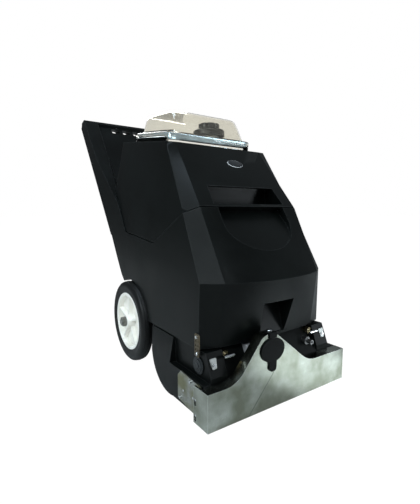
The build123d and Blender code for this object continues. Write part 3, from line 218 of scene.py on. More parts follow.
def blend_colour(tree, mask, first, second):
    node = tree.nodes.new("ShaderNodeMix")
    node.data_type = "RGBA"
    wire(tree, mask, node.inputs["Factor"])
    for colour, socket in ((first, node.inputs[6]), (second, node.inputs[7])):
        wire(tree, colour if isinstance(colour, bpy.types.NodeSocket) else (*colour, 1), socket)
    return node.outputs[2]


def bump(tree, height, distance, strength=1.0, under=None):
    node = tree.nodes.new("ShaderNodeBump")
    wire(tree, height, node.inputs["Height"])
    node.inputs["Distance"].default_value = distance
    node.inputs["Strength"].default_value = strength
    if under is not None:
        wire(tree, under, node.inputs["Normal"])
    return node.outputs["Normal"]


# Outer edges: 1 on outer edges, 0 on open faces. The mask carries rubbed wear, and on moulded plastic also a
# painted edge highlight.
edge_group, edge_in, edge_out = node_group(
    "edge_wear_and_highlight_mask", [("Radius", "NodeSocketFloat", 0.002)], [("Mask", "NodeSocketFloat")]
)
rounded = edge_group.nodes.new("ShaderNodeBevel")
rounded.samples = 4
wire(edge_group, edge_in.outputs["Radius"], rounded.inputs["Radius"])
facing = edge_group.nodes.new("ShaderNodeNewGeometry")
compare = edge_group.nodes.new("ShaderNodeVectorMath")
compare.operation = "DOT_PRODUCT"
wire(edge_group, rounded.outputs["Normal"], compare.inputs[0])
wire(edge_group, facing.outputs["Normal"], compare.inputs[1])
wire(edge_group, remap(edge_group, compare.outputs["Value"], 0.985, 0.80, 0.0, 1.0), edge_out.inputs["Mask"])

# Skin of a moulding or casting: broad blotches, a fine pebble, and thin scuffs.
skin_group, skin_in, skin_out = node_group(
    "moulded_skin",
    [
        ("Place", "NodeSocketVector", None),
        ("Blotch Scale", "NodeSocketFloat", 7.0),
        ("Pebble Scale", "NodeSocketFloat", 420.0),
    ],
    [("Blotch", "NodeSocketFloat"), ("Pebble", "NodeSocketFloat"), ("Scuff", "NodeSocketFloat")],
)
place_in = skin_in.outputs["Place"]
blotch = noise(skin_group, place_in, skin_in.outputs["Blotch Scale"], 4.0)
wire(skin_group, remap(skin_group, blotch, 0.35, 0.65, 0.0, 1.0), skin_out.inputs["Blotch"])
wire(skin_group, noise(skin_group, place_in, skin_in.outputs["Pebble Scale"], 3.0), skin_out.inputs["Pebble"])
long_scuff = noise(skin_group, place_in, 9.0, 3.0, (2.0, 3.0, 26.0))
cross_scuff = noise(skin_group, place_in, 7.0, 3.0, (28.0, 3.0, 3.0))
scuff = calc(skin_group, "MAXIMUM", long_scuff, cross_scuff)
wire(skin_group, remap(skin_group, scuff, 0.68, 0.78, 0.0, 1.0), skin_out.inputs["Scuff"])


def begin(name, metallic=0.0):
    """A new material with its shader, and object coordinates."""
    material = bpy.data.materials.new(name)
    material.use_nodes = True
    tree = material.node_tree
    shader = tree.nodes["Principled BSDF"]
    shader.inputs["Metallic"].default_value = metallic
    return material, tree, shader, tree.nodes.new("ShaderNodeTexCoord").outputs["Object"]


def placed(tree, group, **values):
    node = tree.nodes.new("ShaderNodeGroup")
    node.node_tree = group
    for label, value in values.items():
        wire(tree, value, node.inputs[label.replace("_", " ")])
    return node.outputs


def moulded(name, dark, light, rough, pebble, depth, edge=0.002, blotches=7.0, specular=0.5):
    """Moulded plastic or rubber in a colour between dark and light."""
    material, tree, shader, place = begin(name)
    skin = placed(tree, skin_group, Place=place, Blotch_Scale=blotches, Pebble_Scale=pebble)
    outer_edges = placed(tree, edge_group, Radius=edge)["Mask"]
    base = blend_colour(tree, skin["Blotch"], dark, light)
    # Outer edges lightened: partly rubbed wear, partly a painted highlight standing in for light along the
    # rounded edges.
    edge_highlight_and_wear_colour = [min(1, c * 2.4 + 0.016) for c in light]
    highlit_and_worn = blend_colour(tree, calc(tree, "MULTIPLY", outer_edges, 0.7), base, edge_highlight_and_wear_colour)
    scuffed_colour = [min(1, c * 1.8 + 0.01) for c in light]
    marked = blend_colour(tree, calc(tree, "MULTIPLY", skin["Scuff"], 0.25), highlit_and_worn, scuffed_colour)
    wire(tree, marked, shader.inputs["Base Color"])
    dull = remap(tree, skin["Blotch"], 0.0, 1.0, rough[0], rough[1])
    scuffed = calc(tree, "MULTIPLY", skin["Scuff"], 0.1)
    wire(tree, calc(tree, "ADD", dull, scuffed), shader.inputs["Roughness"])
    wire(tree, bump(tree, skin["Pebble"], depth), shader.inputs["Normal"])
    shader.inputs["Specular IOR Level"].default_value = specular
    return material


def link(mesh, name):
    piece = bpy.data.objects.new(name, mesh)
    bpy.context.scene.collection.objects.link(piece)
    return piece


def finished(piece):
    """The piece with its modifiers made permanent, as one plain mesh."""
    bpy.context.view_layer.update()
    graph = bpy.context.evaluated_depsgraph_get()
    mesh = bpy.data.meshes.new_from_object(piece.evaluated_get(graph))
    piece.modifiers.clear()
    old, piece.data = piece.data, mesh
    bpy.data.meshes.remove(old)
    return piece


MERGE_DISTANCE = 2e-5
SHARP_ANGLE = math.radians(38)
ALL_WAYS = [
    Vector((x, y, z)).normalized() for x in (-1, 0, 1) for y in (-1, 0, 1) for z in (-1, 0, 1) if x or y or z
]


def rounded_copy(node, passes, join=0.4):
    """A copy of a part with its outer edges rounded over.
    Each pass is (radius, segments, least angle, shortest edge)."""
    shape = bmesh.new()
    shape.from_mesh(frame["nodes"][node].data)
    bmesh.ops.remove_doubles(shape, verts=shape.verts, dist=MERGE_DISTANCE)
    bmesh.ops.dissolve_limit(shape, angle_limit=math.radians(join), verts=shape.verts, edges=shape.edges)
    for radius, segments, least_angle, shortest in passes:
        shape.normal_update()
        tree = BVHTree.FromBMesh(shape)
        open_faces = set()
        for face in shape.faces:
            start = face.calc_center_median() + face.normal * 2e-4
            if any(tree.ray_cast(start, way)[0] is None for way in ALL_WAYS):
                open_faces.add(face)
        edges = [
            edge
            for edge in shape.edges
            if len(edge.link_faces) == 2
            and all(face in open_faces for face in edge.link_faces)
            and edge.calc_length() > shortest
            and abs(edge.calc_face_angle(0)) > math.radians(least_angle)
        ]
        bmesh.ops.bevel(
            shape,
            geom=edges,
            offset=radius,
            offset_type="OFFSET",
            segments=segments,
            profile=0.5,
            affect="EDGES",
            clamp_overlap=True,
            loop_slide=True,
        )
        bmesh.ops.remove_doubles(shape, verts=shape.verts, dist=1e-5)
    bmesh.ops.recalc_face_normals(shape, faces=shape.faces)
    for face in shape.faces:
        face.smooth = True
    for edge in shape.edges:
        edge.smooth = len(edge.link_faces) == 2 and edge.calc_face_angle(0) < SHARP_ANGLE
    mesh = bpy.data.meshes.new(node + "_look")
    shape.to_mesh(mesh)
    shape.free()
    return link(mesh, node + "_look")


def even_shading(piece):
    modifier = piece.modifiers.new("shading", "WEIGHTED_NORMAL")
    modifier.weight = 100
    modifier.keep_sharp = True
    return finished(piece)


def body_of(node):
    return next(name for name, nodes in frame["record"]["behaviour"]["bodies"].items() if node in nodes)


def stands_for(piece, node, material):
    """The piece rides on the node's body, is shown in its stead and takes its finish."""
    piece.data.materials.clear()
    piece.data.materials.append(material)
    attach(piece, body_of(node))
    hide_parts(node)
    return piece


tank_plastic = moulded(
    "black_tank_plastic", dark=(0.0015, 0.0021, 0.0020), light=(0.0032, 0.0042, 0.0040), rough=(0.34, 0.44),
    pebble=420.0, depth=0.00010, edge=0.004, blotches=7.0, specular=0.12,
)
for tank in ("solution_tank", "recovery_tank"):
    piece = rounded_copy(tank, [(0.003, 3, 14, 0.008)])
    stands_for(even_shading(piece), tank, tank_plastic)


# ---------------------------------------------------------------- badge
# A blank oval plate with a bright lacquered rim, raised round a dark enamelled field.
# It is fixed flat on the upper tank's sloping front.
badge_rim = moulded(
    "badge_rim", dark=(0.62, 0.64, 0.66), light=(0.80, 0.82, 0.84), rough=(0.25, 0.35),
    pebble=900.0, depth=0.00001, edge=0.0004,
)
enamel = moulded(
    "badge_enamel", dark=(0.004, 0.005, 0.006), light=(0.010, 0.012, 0.014), rough=(0.2, 0.3),
    pebble=900.0, depth=0.00001, edge=0.0004,
)
badge = rounded_copy("badge", [(0.0006, 2, 25, 0.0002)])
stands_for(badge, "badge", badge_rim)
badge.data.materials.append(enamel)
low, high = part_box("badge")
middle, half = (low + high) / 2, (high - low) / 2
for face in badge.data.polygons:
    out = face.center - middle
    if abs(face.normal.x) < 0.3 and (out.x / half.x) ** 2 + (out.z / half.z) ** 2 < 0.62:
        face.material_index = 1

# ---------------------------------------------------------------- clear dome
# A clear moulded lid stands on a rubber gasket inside a bright clamping band. A
# ribbed black filter cap shows through it.


def clear_plastic(name, tint, rough):
    material, tree, shader, place = begin(name)
    cloud = remap(tree, noise(tree, place, 9.0, 4.0), 0.35, 0.65, 0.0, 1.0)
    wire(tree, blend_colour(tree, cloud, tint, [min(1, c * 1.05) for c in tint]), shader.inputs["Base Color"])
    haze = noise(tree, place, 30.0, 5.0)
    wire(tree, remap(tree, haze, 0.35, 0.7, rough[0], rough[1]), shader.inputs["Roughness"])
    wire(tree, bump(tree, noise(tree, place, 22.0, 2.0), 0.0006, 0.25), shader.inputs["Normal"])
    shader.inputs["Transmission Weight"].default_value = 1.0
    shader.inputs["IOR"].default_value = 1.33
    return material


dome_plastic = clear_plastic("dome_plastic", (0.80, 0.785, 0.72), (0.015, 0.05))
# Where the lid sits: the front edge of the upper tank's top, and that top's slope.
lid_slope = math.radians(8.05)
lid_origin = Vector((0, nose + 0.270, 0.652))
lid_up = Vector((0, -math.sin(lid_slope), math.cos(lid_slope)))
lid_back = Vector((0, math.cos(lid_slope), math.sin(lid_slope)))


def on_lid(across, along, height):
    return lid_origin + Vector((across, 0, 0)) + lid_back * along + lid_up * height


def rounded_outline(width, length, radius, middle_along, steps=9):
    """Points round a rectangle with rounded corners, the same number every time."""
    points = []
    for right, back, start in ((1, 1, 0), (-1, 1, 90), (-1, -1, 180), (1, -1, 270)):
        for step in range(steps):
            angle = math.radians(start + 90 * step / (steps - 1))
            points.append(
                (
                    right * (width / 2 - radius) + radius * math.cos(angle),
                    middle_along + back * (length / 2 - radius) + radius * math.sin(angle),
                )
            )
    return points


# From the foot up: width, length, corner radius, middle, height, and fall towards the back.
dome_rings = [
    (0.300, 0.252, 0.034, 0.160, 0.0032, 0.0),
    (0.300, 0.252, 0.034, 0.160, 0.0240, 0.0),
    (0.2985, 0.2505, 0.033, 0.160, 0.0272, 0.0),
    (0.2950, 0.247, 0.032, 0.160, 0.0292, 0.0),
    (0.290, 0.242, 0.031, 0.160, 0.0300, 0.0),
    (0.268, 0.228, 0.030, 0.1585, 0.0303, 0.0),
    (0.2625, 0.222, 0.029, 0.159, 0.0320, 0.0),
    (0.2600, 0.2190, 0.029, 0.1600, 0.0370, 0.002),
    (0.2490, 0.2020, 0.028, 0.1670, 0.0620, 0.026),
    (0.2435, 0.1920, 0.028, 0.1710, 0.0740, 0.040),
    (0.2395, 0.1845, 0.028, 0.1740, 0.0820, 0.052),
    (0.2330, 0.1770, 0.027, 0.1765, 0.0866, 0.058),
    (0.2230, 0.1660, 0.027, 0.1780, 0.0890, 0.0595),
    (0.2080, 0.1510, 0.026, 0.1780, 0.0902, 0.0595),
    (0.1600, 0.1080, 0.020, 0.1780, 0.0907, 0.0595),
    (0.0860, 0.0550, 0.012, 0.1780, 0.0909, 0.0595),
]
shell = bmesh.new()
rings = []
for width, length, radius, along, height, fall in dome_rings:
    outline = rounded_outline(width, length, radius, along)
    rings.append([shell.verts.new(on_lid(x, y, height - fall * (y - along))) for x, y in outline])
for ring, after in zip(rings, rings[1:]):
    for step in range(len(ring)):
        following = (step + 1) % len(ring)
        shell.faces.new((ring[step], ring[following], after[following], after[step]))
shell.faces.new(rings[-1])
for face in shell.faces:
    face.smooth = True
mesh = bpy.data.meshes.new("dome_lid_look")
shell.to_mesh(mesh)
shell.free()
dome = link(mesh, "dome_lid_look")
wall = dome.modifiers.new("wall", "SOLIDIFY")
wall.thickness = 0.003
wall.offset = -1
stands_for(finished(dome), "dome_lid", dome_plastic)


def paint(material, *nodes):
    """Gives a carried-over part its finish."""
    for name in nodes:
        piece = frame["nodes"][name]
        if not piece.data.materials:
            piece.data.materials.append(material)
        for slot in piece.material_slots:
            slot.material = material


def metal(name, dark, light, rough, grain=(400.0, None), depth=0.00003, edge=0.0008, spots=12.0):
    """Bare metal: mottled colour, a grain that may run one way, and brighter corners."""
    material, tree, shader, place = begin(name, 1.0)
    cloud = remap(tree, noise(tree, place, spots, 4.0), 0.35, 0.65, 0.0, 1.0)
    fine = noise(tree, place, grain[0], 3.0, grain[1])
    outer_edges = placed(tree, edge_group, Radius=edge)["Mask"]
    base = blend_colour(tree, cloud, dark, light)
    bare_corner = [min(1, c * 1.3 + 0.05) for c in light]
    bright = blend_colour(tree, calc(tree, "MULTIPLY", outer_edges, 0.6), base, bare_corner)
    wire(tree, bright, shader.inputs["Base Color"])
    dull = remap(tree, cloud, 0.0, 1.0, rough[0], rough[1])
    wire(tree, calc(tree, "ADD", dull, remap(tree, fine, 0.3, 0.7, -0.04, 0.04)), shader.inputs["Roughness"])
    wire(tree, bump(tree, fine, depth), shader.inputs["Normal"])
    return material


# The band's colour is painted reflection: large blotches from near black to pale blue stand in for the bright
# and dark reflections of polished chrome.
band_chrome_painted_reflection = metal(
    "band_chrome_painted_reflection", dark=(0.03, 0.05, 0.07), light=(0.50, 0.65, 0.80), rough=(0.08, 0.16),
    grain=(60.0, (1, 1, 40)), depth=0.00004, edge=0.0008, spots=5.5,
)
paint(band_chrome_painted_reflection, "dome_band")
soft_black = moulded(
    "black_rubber", dark=(0.008, 0.008, 0.008), light=(0.016, 0.016, 0.016), rough=(0.55, 0.7),
    pebble=700.0, depth=0.00008,
)
paint(soft_black, "dome_gasket", "tank_seals", "shoe_hose")
cap_black = moulded(
    "cap_plastic", dark=(0.008, 0.008, 0.009), light=(0.016, 0.017, 0.018), rough=(0.28, 0.4),
    pebble=500.0, depth=0.00005, edge=0.0012,
)
paint(cap_black, "filter_cap", "drain_cap")

# ---------------------------------------------------------------- base and covers
# The base housing, the console's back cover and the pivot caps are moulded in the
# same black plastic as the tanks, with tighter corners.
housing_plastic = moulded(
    "housing_plastic", dark=(0.0015, 0.0020, 0.0019), light=(0.0030, 0.0038, 0.0037), rough=(0.36, 0.48),
    pebble=380.0, depth=0.00010, edge=0.003, blotches=8.0, specular=0.12,
)
for node in ("base_housing", "rear_cover"):
    stands_for(even_shading(rounded_copy(node, [(0.0025, 3, 14, 0.006)])), node, housing_plastic)
worn_plastic = moulded(
    "worn_cap_plastic", dark=(0.009, 0.011, 0.012), light=(0.020, 0.023, 0.025), rough=(0.4, 0.5),
    pebble=380.0, depth=0.00010, edge=0.002, blotches=30.0, specular=0.3,
)
stands_for(even_shading(rounded_copy("pivot_caps", [(0.0012, 3, 25, 0.0)])), "pivot_caps", worn_plastic)

# ---------------------------------------------------------------- vacuum shoe
# The shoe across the front is cast and polished aluminium. A rubber flap closes its
# hose port, hung on a rubber strap under a bright bolt.
shoe_aluminium, tree, shader, place = begin("shoe_aluminium", 1.0)
cloud = remap(tree, noise(tree, place, 16.0, 5.0), 0.34, 0.66, 0.0, 1.0)
smear = remap(tree, noise(tree, place, 7.0, 4.0, (1.0, 1.0, 3.5)), 0.38, 0.66, 0.0, 1.0)
grit = noise(tree, place, 650.0, 3.0)
polish = noise(tree, place, 60.0, 3.0, (1.0, 1.0, 9.0))
tone = blend_colour(tree, cloud, (0.19, 0.20, 0.155), (0.42, 0.44, 0.395))
tone = blend_colour(tree, calc(tree, "MULTIPLY", smear, 0.45), tone, (0.19, 0.20, 0.15))
outer_edges = placed(tree, edge_group, Radius=0.0015)["Mask"]
tone = blend_colour(tree, calc(tree, "MULTIPLY", outer_edges, 0.8), tone, (0.90, 0.91, 0.90))
# A thin dark line in the colour, from under the port down to the foot.
dark_line_top, dark_line_foot = (-0.0385, 0.089), (-0.1175, 0.0)
run = math.hypot(dark_line_top[0] - dark_line_foot[0], dark_line_top[1] - dark_line_foot[1])
slope = ((dark_line_top[0] - dark_line_foot[0]) / run, (dark_line_top[1] - dark_line_foot[1]) / run)
split = tree.nodes.new("ShaderNodeSeparateXYZ")
wire(tree, place, split.inputs["Vector"])
off_x = calc(tree, "SUBTRACT", split.outputs["X"], dark_line_foot[0])
off_z = calc(tree, "SUBTRACT", split.outputs["Z"], dark_line_foot[1])
side_x = calc(tree, "MULTIPLY", off_x, slope[1])
aside = calc(tree, "SUBTRACT", side_x, calc(tree, "MULTIPLY", off_z, slope[0]))
apart = calc(tree, "ABSOLUTE", aside, 0.0)
dark_line = remap(tree, apart, 0.0004, 0.0011, 1.0, 0.0)
below = remap(tree, split.outputs["Z"], dark_line_top[1] - 0.001, dark_line_top[1], 1.0, 0.0)
in_front = remap(tree, split.outputs["Y"], nose + 0.0004, nose + 0.0008, 1.0, 0.0)
dark_line = calc(tree, "MULTIPLY", calc(tree, "MULTIPLY", dark_line, below), in_front)
tone = blend_colour(tree, calc(tree, "MULTIPLY", dark_line, 0.8), tone, (0.05, 0.055, 0.05))
wire(tree, tone, shader.inputs["Base Color"])
gloss = remap(tree, cloud, 0.0, 1.0, 0.13, 0.25)
wire(tree, calc(tree, "ADD", gloss, remap(tree, grit, 0.3, 0.7, -0.03, 0.05)), shader.inputs["Roughness"])
ground = bump(tree, calc(tree, "ADD", calc(tree, "MULTIPLY", grit, 0.3), polish), 0.00006)
wire(tree, bump(tree, cloud, 0.0009, 0.35, ground), shader.inputs["Normal"])
stands_for(even_shading(rounded_copy("vacuum_shoe", [(0.0009, 2, 25, 0.003)])), "vacuum_shoe", shoe_aluminium)
flap_rubber = moulded(
    "flap_rubber", dark=(0.0016, 0.0018, 0.0018), light=(0.0036, 0.0040, 0.0040), rough=(0.45, 0.6),
    pebble=600.0, depth=0.00008, edge=0.001, blotches=20.0, specular=0.06,
)
paint(flap_rubber, "port_cap", "cap_strap")
chrome = metal(
    "turned_chrome", dark=(0.70, 0.72, 0.74), light=(0.86, 0.87, 0.88), rough=(0.08, 0.16),
    grain=(300.0, None), depth=0.00001, edge=0.0005,
)
paint(chrome, "cap_bolt", "pull_pin_left", "pull_pin_right")
coupler_steel = metal(
    "coupler_steel", dark=(0.12, 0.12, 0.12), light=(0.26, 0.26, 0.26), rough=(0.22, 0.34),
    grain=(300.0, None), depth=0.00001, edge=0.0006,
)
paint(coupler_steel, "quick_coupler")

# ---------------------------------------------------------------- stainless plates
# Side plates, brush arms and spray bar are brushed stainless sheet with a film of dried
# cleaning solution. The tie strap is bronzed, the brackets zinc and the guides brass.
stainless, tree, shader, place = begin("filmed_stainless", 1.0)
brushing = noise(tree, place, 90.0, 3.0, (30.0, 1.0, 30.0))
film = remap(tree, noise(tree, place, 22.0, 5.0), 0.38, 0.60, 0.0, 1.0)
drips = remap(tree, noise(tree, place, 30.0, 3.0, (1.0, 1.0, 0.15)), 0.42, 0.62, 0.0, 1.0)
tone = blend_colour(tree, film, (0.34, 0.35, 0.33), (0.22, 0.215, 0.13))
tone = blend_colour(tree, calc(tree, "MULTIPLY", drips, 0.35), tone, (0.15, 0.15, 0.09))
outer_edges = placed(tree, edge_group, Radius=0.0009)["Mask"]
tone = blend_colour(tree, calc(tree, "MULTIPLY", outer_edges, 0.8), tone, (0.62, 0.62, 0.58))
wire(tree, tone, shader.inputs["Base Color"])
dull = remap(tree, film, 0.0, 1.0, 0.26, 0.46)
wire(tree, calc(tree, "ADD", dull, remap(tree, brushing, 0.3, 0.7, -0.05, 0.05)), shader.inputs["Roughness"])
wire(tree, bump(tree, brushing, 0.00003), shader.inputs["Normal"])
stands_for(even_shading(rounded_copy("side_plates", [(0.0005, 2, 30, 0.0)])), "side_plates", stainless)
bronzed = metal(
    "bronzed_strap", dark=(0.055, 0.045, 0.028), light=(0.13, 0.105, 0.07), rough=(0.34, 0.48),
    grain=(120.0, None), depth=0.00004, edge=0.0006,
)
stands_for(even_shading(rounded_copy("tie_strap", [(0.0005, 2, 30, 0.0)])), "tie_strap", bronzed)
paint(stainless, "brush_arms", "spray_bar")
zinc = metal(
    "zinc_plate", dark=(0.22, 0.23, 0.22), light=(0.38, 0.39, 0.38), rough=(0.30, 0.44),
    grain=(140.0, None), depth=0.00004, edge=0.0008, spots=60.0,
)
stands_for(even_shading(rounded_copy("corner_brackets", [(0.0005, 2, 30, 0.0)])), "corner_brackets", zinc)
brass = metal(
    "machined_brass", dark=(0.20, 0.16, 0.09), light=(0.34, 0.28, 0.17), rough=(0.22, 0.34),
    grain=(400.0, None),
)
paint(brass, "pin_guides", "brush_bushes", "spray_nozzles")

# ---------------------------------------------------------------- screws
# Pan-head screws with cross recesses hold the plates, covers and frame. Every screw
# of a size is one turned head repeated at its own place.


def tree_value(tree, kind, **values):
    node = tree.nodes.new(kind)
    for label, value in values.items():
        wire(tree, value, node.inputs[label.replace("_", " ")])
    return node


screws = bpy.data.node_groups.new("cross_screws", "GeometryNodeTree")
for label, kind in (
    ("Places", "NodeSocketGeometry"),
    ("Head Radius", "NodeSocketFloat"),
    ("Head Height", "NodeSocketFloat"),
    ("Shank Radius", "NodeSocketFloat"),
    ("Shank Length", "NodeSocketFloat"),
    ("Finish", "NodeSocketMaterial"),
):
    screws.interface.new_socket(label, in_out="INPUT", socket_type=kind)
screws.interface.new_socket("Screws", in_out="OUTPUT", socket_type="NodeSocketGeometry")
given = screws.nodes.new("NodeGroupInput").outputs
head_radius, head_height = given["Head Radius"], given["Head Height"]
disc = screws.nodes.new("GeometryNodeMeshCircle")
disc.fill_type = "NGON"
disc.inputs["Vertices"].default_value = 28
wire(screws, head_radius, disc.inputs["Radius"])
shape, chosen = disc.outputs["Mesh"], None
for rise, shrink in ((0.45, 1.0), (0.25, 0.93), (0.18, 0.84), (0.12, 0.74)):
    pull = screws.nodes.new("GeometryNodeExtrudeMesh")
    wire(screws, shape, pull.inputs["Mesh"])
    if chosen is not None:
        wire(screws, chosen, pull.inputs["Selection"])
    wire(screws, calc(screws, "MULTIPLY", head_height, rise), pull.inputs["Offset Scale"])
    narrow = screws.nodes.new("GeometryNodeScaleElements")
    wire(screws, pull.outputs["Mesh"], narrow.inputs["Geometry"])
    wire(screws, pull.outputs["Top"], narrow.inputs["Selection"])
    narrow.inputs["Scale"].default_value = shrink
    shape, chosen = narrow.outputs["Geometry"], pull.outputs["Top"]
recess = screws.nodes.new("GeometryNodeMeshBoolean")
recess.operation = "DIFFERENCE"
recess.solver = "EXACT"
wire(screws, shape, recess.inputs["Mesh 1"])
arm_long = calc(screws, "MULTIPLY", head_radius, 1.15)
arm_wide = calc(screws, "MULTIPLY", head_radius, 0.26)
for across, along in ((arm_long, arm_wide), (arm_wide, arm_long)):
    size = tree_value(screws, "ShaderNodeCombineXYZ", X=across, Y=along, Z=head_height)
    arm = tree_value(screws, "GeometryNodeMeshCube", Size=size.outputs["Vector"])
    lift = tree_value(screws, "ShaderNodeCombineXYZ", Z=head_height)
    moved = tree_value(
        screws, "GeometryNodeTransform", Geometry=arm.outputs["Mesh"], Translation=lift.outputs["Vector"]
    )
    wire(screws, moved.outputs["Geometry"], recess.inputs["Mesh 2"])
shank = screws.nodes.new("GeometryNodeMeshCylinder")
shank.inputs["Vertices"].default_value = 12
wire(screws, given["Shank Radius"], shank.inputs["Radius"])
wire(screws, given["Shank Length"], shank.inputs["Depth"])
sunk = tree_value(
    screws, "ShaderNodeCombineXYZ", Z=calc(screws, "MULTIPLY", given["Shank Length"], -0.5)
)
shank_low = tree_value(
    screws, "GeometryNodeTransform", Geometry=shank.outputs["Mesh"], Translation=sunk.outputs["Vector"]
)
whole = screws.nodes.new("GeometryNodeJoinGeometry")
wire(screws, recess.outputs["Mesh"], whole.inputs["Geometry"])
wire(screws, shank_low.outputs["Geometry"], whole.inputs["Geometry"])
facing = screws.nodes.new("GeometryNodeInputNamedAttribute")
facing.data_type = "FLOAT_VECTOR"
facing.inputs["Name"].default_value = "facing"
turn = screws.nodes.new("FunctionNodeAlignRotationToVector")
turn.axis = "Z"
wire(screws, facing.outputs["Attribute"], turn.inputs["Vector"])
repeat = tree_value(
    screws, "GeometryNodeInstanceOnPoints", Points=given["Places"], Instance=whole.outputs["Geometry"]
)
wire(screws, turn.outputs["Rotation"], repeat.inputs["Rotation"])
solid = tree_value(screws, "GeometryNodeRealizeInstances", Geometry=repeat.outputs["Instances"])
coated = tree_value(
    screws, "GeometryNodeSetMaterial", Geometry=solid.outputs["Geometry"], Material=given["Finish"]
)
wire(screws, coated.outputs["Geometry"], screws.nodes.new("NodeGroupOutput").inputs["Screws"])


def loose_parts(node):
    """The corner points of each separate solid in a part, with its faces' normals."""
    shape = bmesh.new()
    shape.from_mesh(frame["nodes"][node].data)
    bmesh.ops.remove_doubles(shape, verts=shape.verts, dist=MERGE_DISTANCE)
    found = []
    left = set(shape.verts)
    while left:
        reached, edge_of = set(), [next(iter(sorted(left, key=lambda vert: vert.index)))]
        while edge_of:
            vert = edge_of.pop()
            if vert not in reached:
                reached.add(vert)
                edge_of.extend(edge.other_vert(vert) for edge in vert.link_edges)
        left -= reached
        areas = {}
        for face in {face for vert in reached for face in vert.link_faces}:
            key = tuple(round(number, 2) for number in face.normal)
            areas[key] = areas.get(key, 0) + face.calc_area()
        axis = Vector(max(areas, key=areas.get)).normalized()
        found.append(([vert.co.copy() for vert in reached], axis))
    shape.free()
    return found


def screw_places(node):
    """For each screw: foot of head, outward axis, and (head radius, height, shank radius, length)."""
    found = []
    for points, axis in loose_parts(node):
        centre = sum(points, Vector()) / len(points)
        spread = [((point - centre).dot(axis), point) for point in points]
        low, high = min(spread)[0], max(spread)[0]

        def radial(point):
            away = point - centre
            return (away - axis * away.dot(axis)).length

        top = max(radial(point) for along, point in spread if along > high - 1e-4)
        foot = max(radial(point) for along, point in spread if along < low + 1e-4)
        widest = max(radial(point) for _, point in spread)
        rim = [along for along, point in spread if radial(point) > widest * 0.97]
        if abs(max(rim) - high) > abs(min(rim) - low):
            axis, low, high, top, foot = -axis, -high, -low, foot, top
            rim = [-along for along in rim]
        found.append((centre + axis * min(rim), axis, (widest, high - min(rim), foot, min(rim) - low)))
    return found


def cross_screws(node, finish):
    """All the screws of a part, made again as turned heads."""
    sizes = {}
    for place, axis, size in screw_places(node):
        sizes.setdefault(tuple(round(number, 4) for number in size), []).append((place, axis))
    made = []
    for size, rows in sorted(sizes.items()):
        mesh = bpy.data.meshes.new(node + "_places")
        mesh.from_pydata([place for place, _ in rows], [], [])
        mesh.attributes.new("facing", "FLOAT_VECTOR", "POINT")
        mesh.attributes["facing"].data.foreach_set("vector", [n for _, axis in rows for n in axis])
        piece = link(mesh, f"{node}_look_{len(made)}")
        modifier = piece.modifiers.new("screws", "NODES")
        modifier.node_group = screws
        items = screws.interface.items_tree
        inputs = {item.name: item.identifier for item in items if item.in_out == "INPUT"}
        values = dict(zip(("Head Radius", "Head Height", "Shank Radius", "Shank Length"), size))
        for label, value in values.items():
            modifier[inputs[label]] = max(value, 0.0005)
        modifier[inputs["Finish"]] = finish
        made.append(finished(piece))
    for piece in made:
        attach(piece, body_of(node))
    for piece in made:
        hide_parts(node)


screw_steel = metal(
    "screw_steel", dark=(0.46, 0.47, 0.48), light=(0.66, 0.67, 0.68), rough=(0.18, 0.30),
    grain=(350.0, None), depth=0.00002, edge=0.0003,
)
for node in ("side_screws", "cover_screws", "shoe_bolts", "frame_bolts"):
    cross_screws(node, screw_steel)

# ---------------------------------------------------------------- wheels
# Solid rubber tyres are pressed on to off-white moulded rims that turn on a steel
# axle, held by washers and domed nuts.


def turned(name, profile, middle_point, segments):
    """A ring turned about the left-to-right axis from a closed profile."""
    shape = bmesh.new()
    rings = []
    for along, radius in profile:
        ring = []
        for step in range(segments):
            angle = step * math.tau / segments
            ring.append(
                shape.verts.new(
                    (
                        middle_point.x + along,
                        middle_point.y + radius * math.cos(angle),
                        middle_point.z + radius * math.sin(angle),
                    )
                )
            )
        rings.append(ring)
    for ring, after in zip(rings, rings[1:] + rings[:1]):
        for step in range(segments):
            following = (step + 1) % segments
            shape.faces.new((ring[step], ring[following], after[following], after[step]))
    bmesh.ops.recalc_face_normals(shape, faces=shape.faces)
    for face in shape.faces:
        face.smooth = True
    mesh = bpy.data.meshes.new(name)
    shape.to_mesh(mesh)
    shape.free()
    return link(mesh, name)


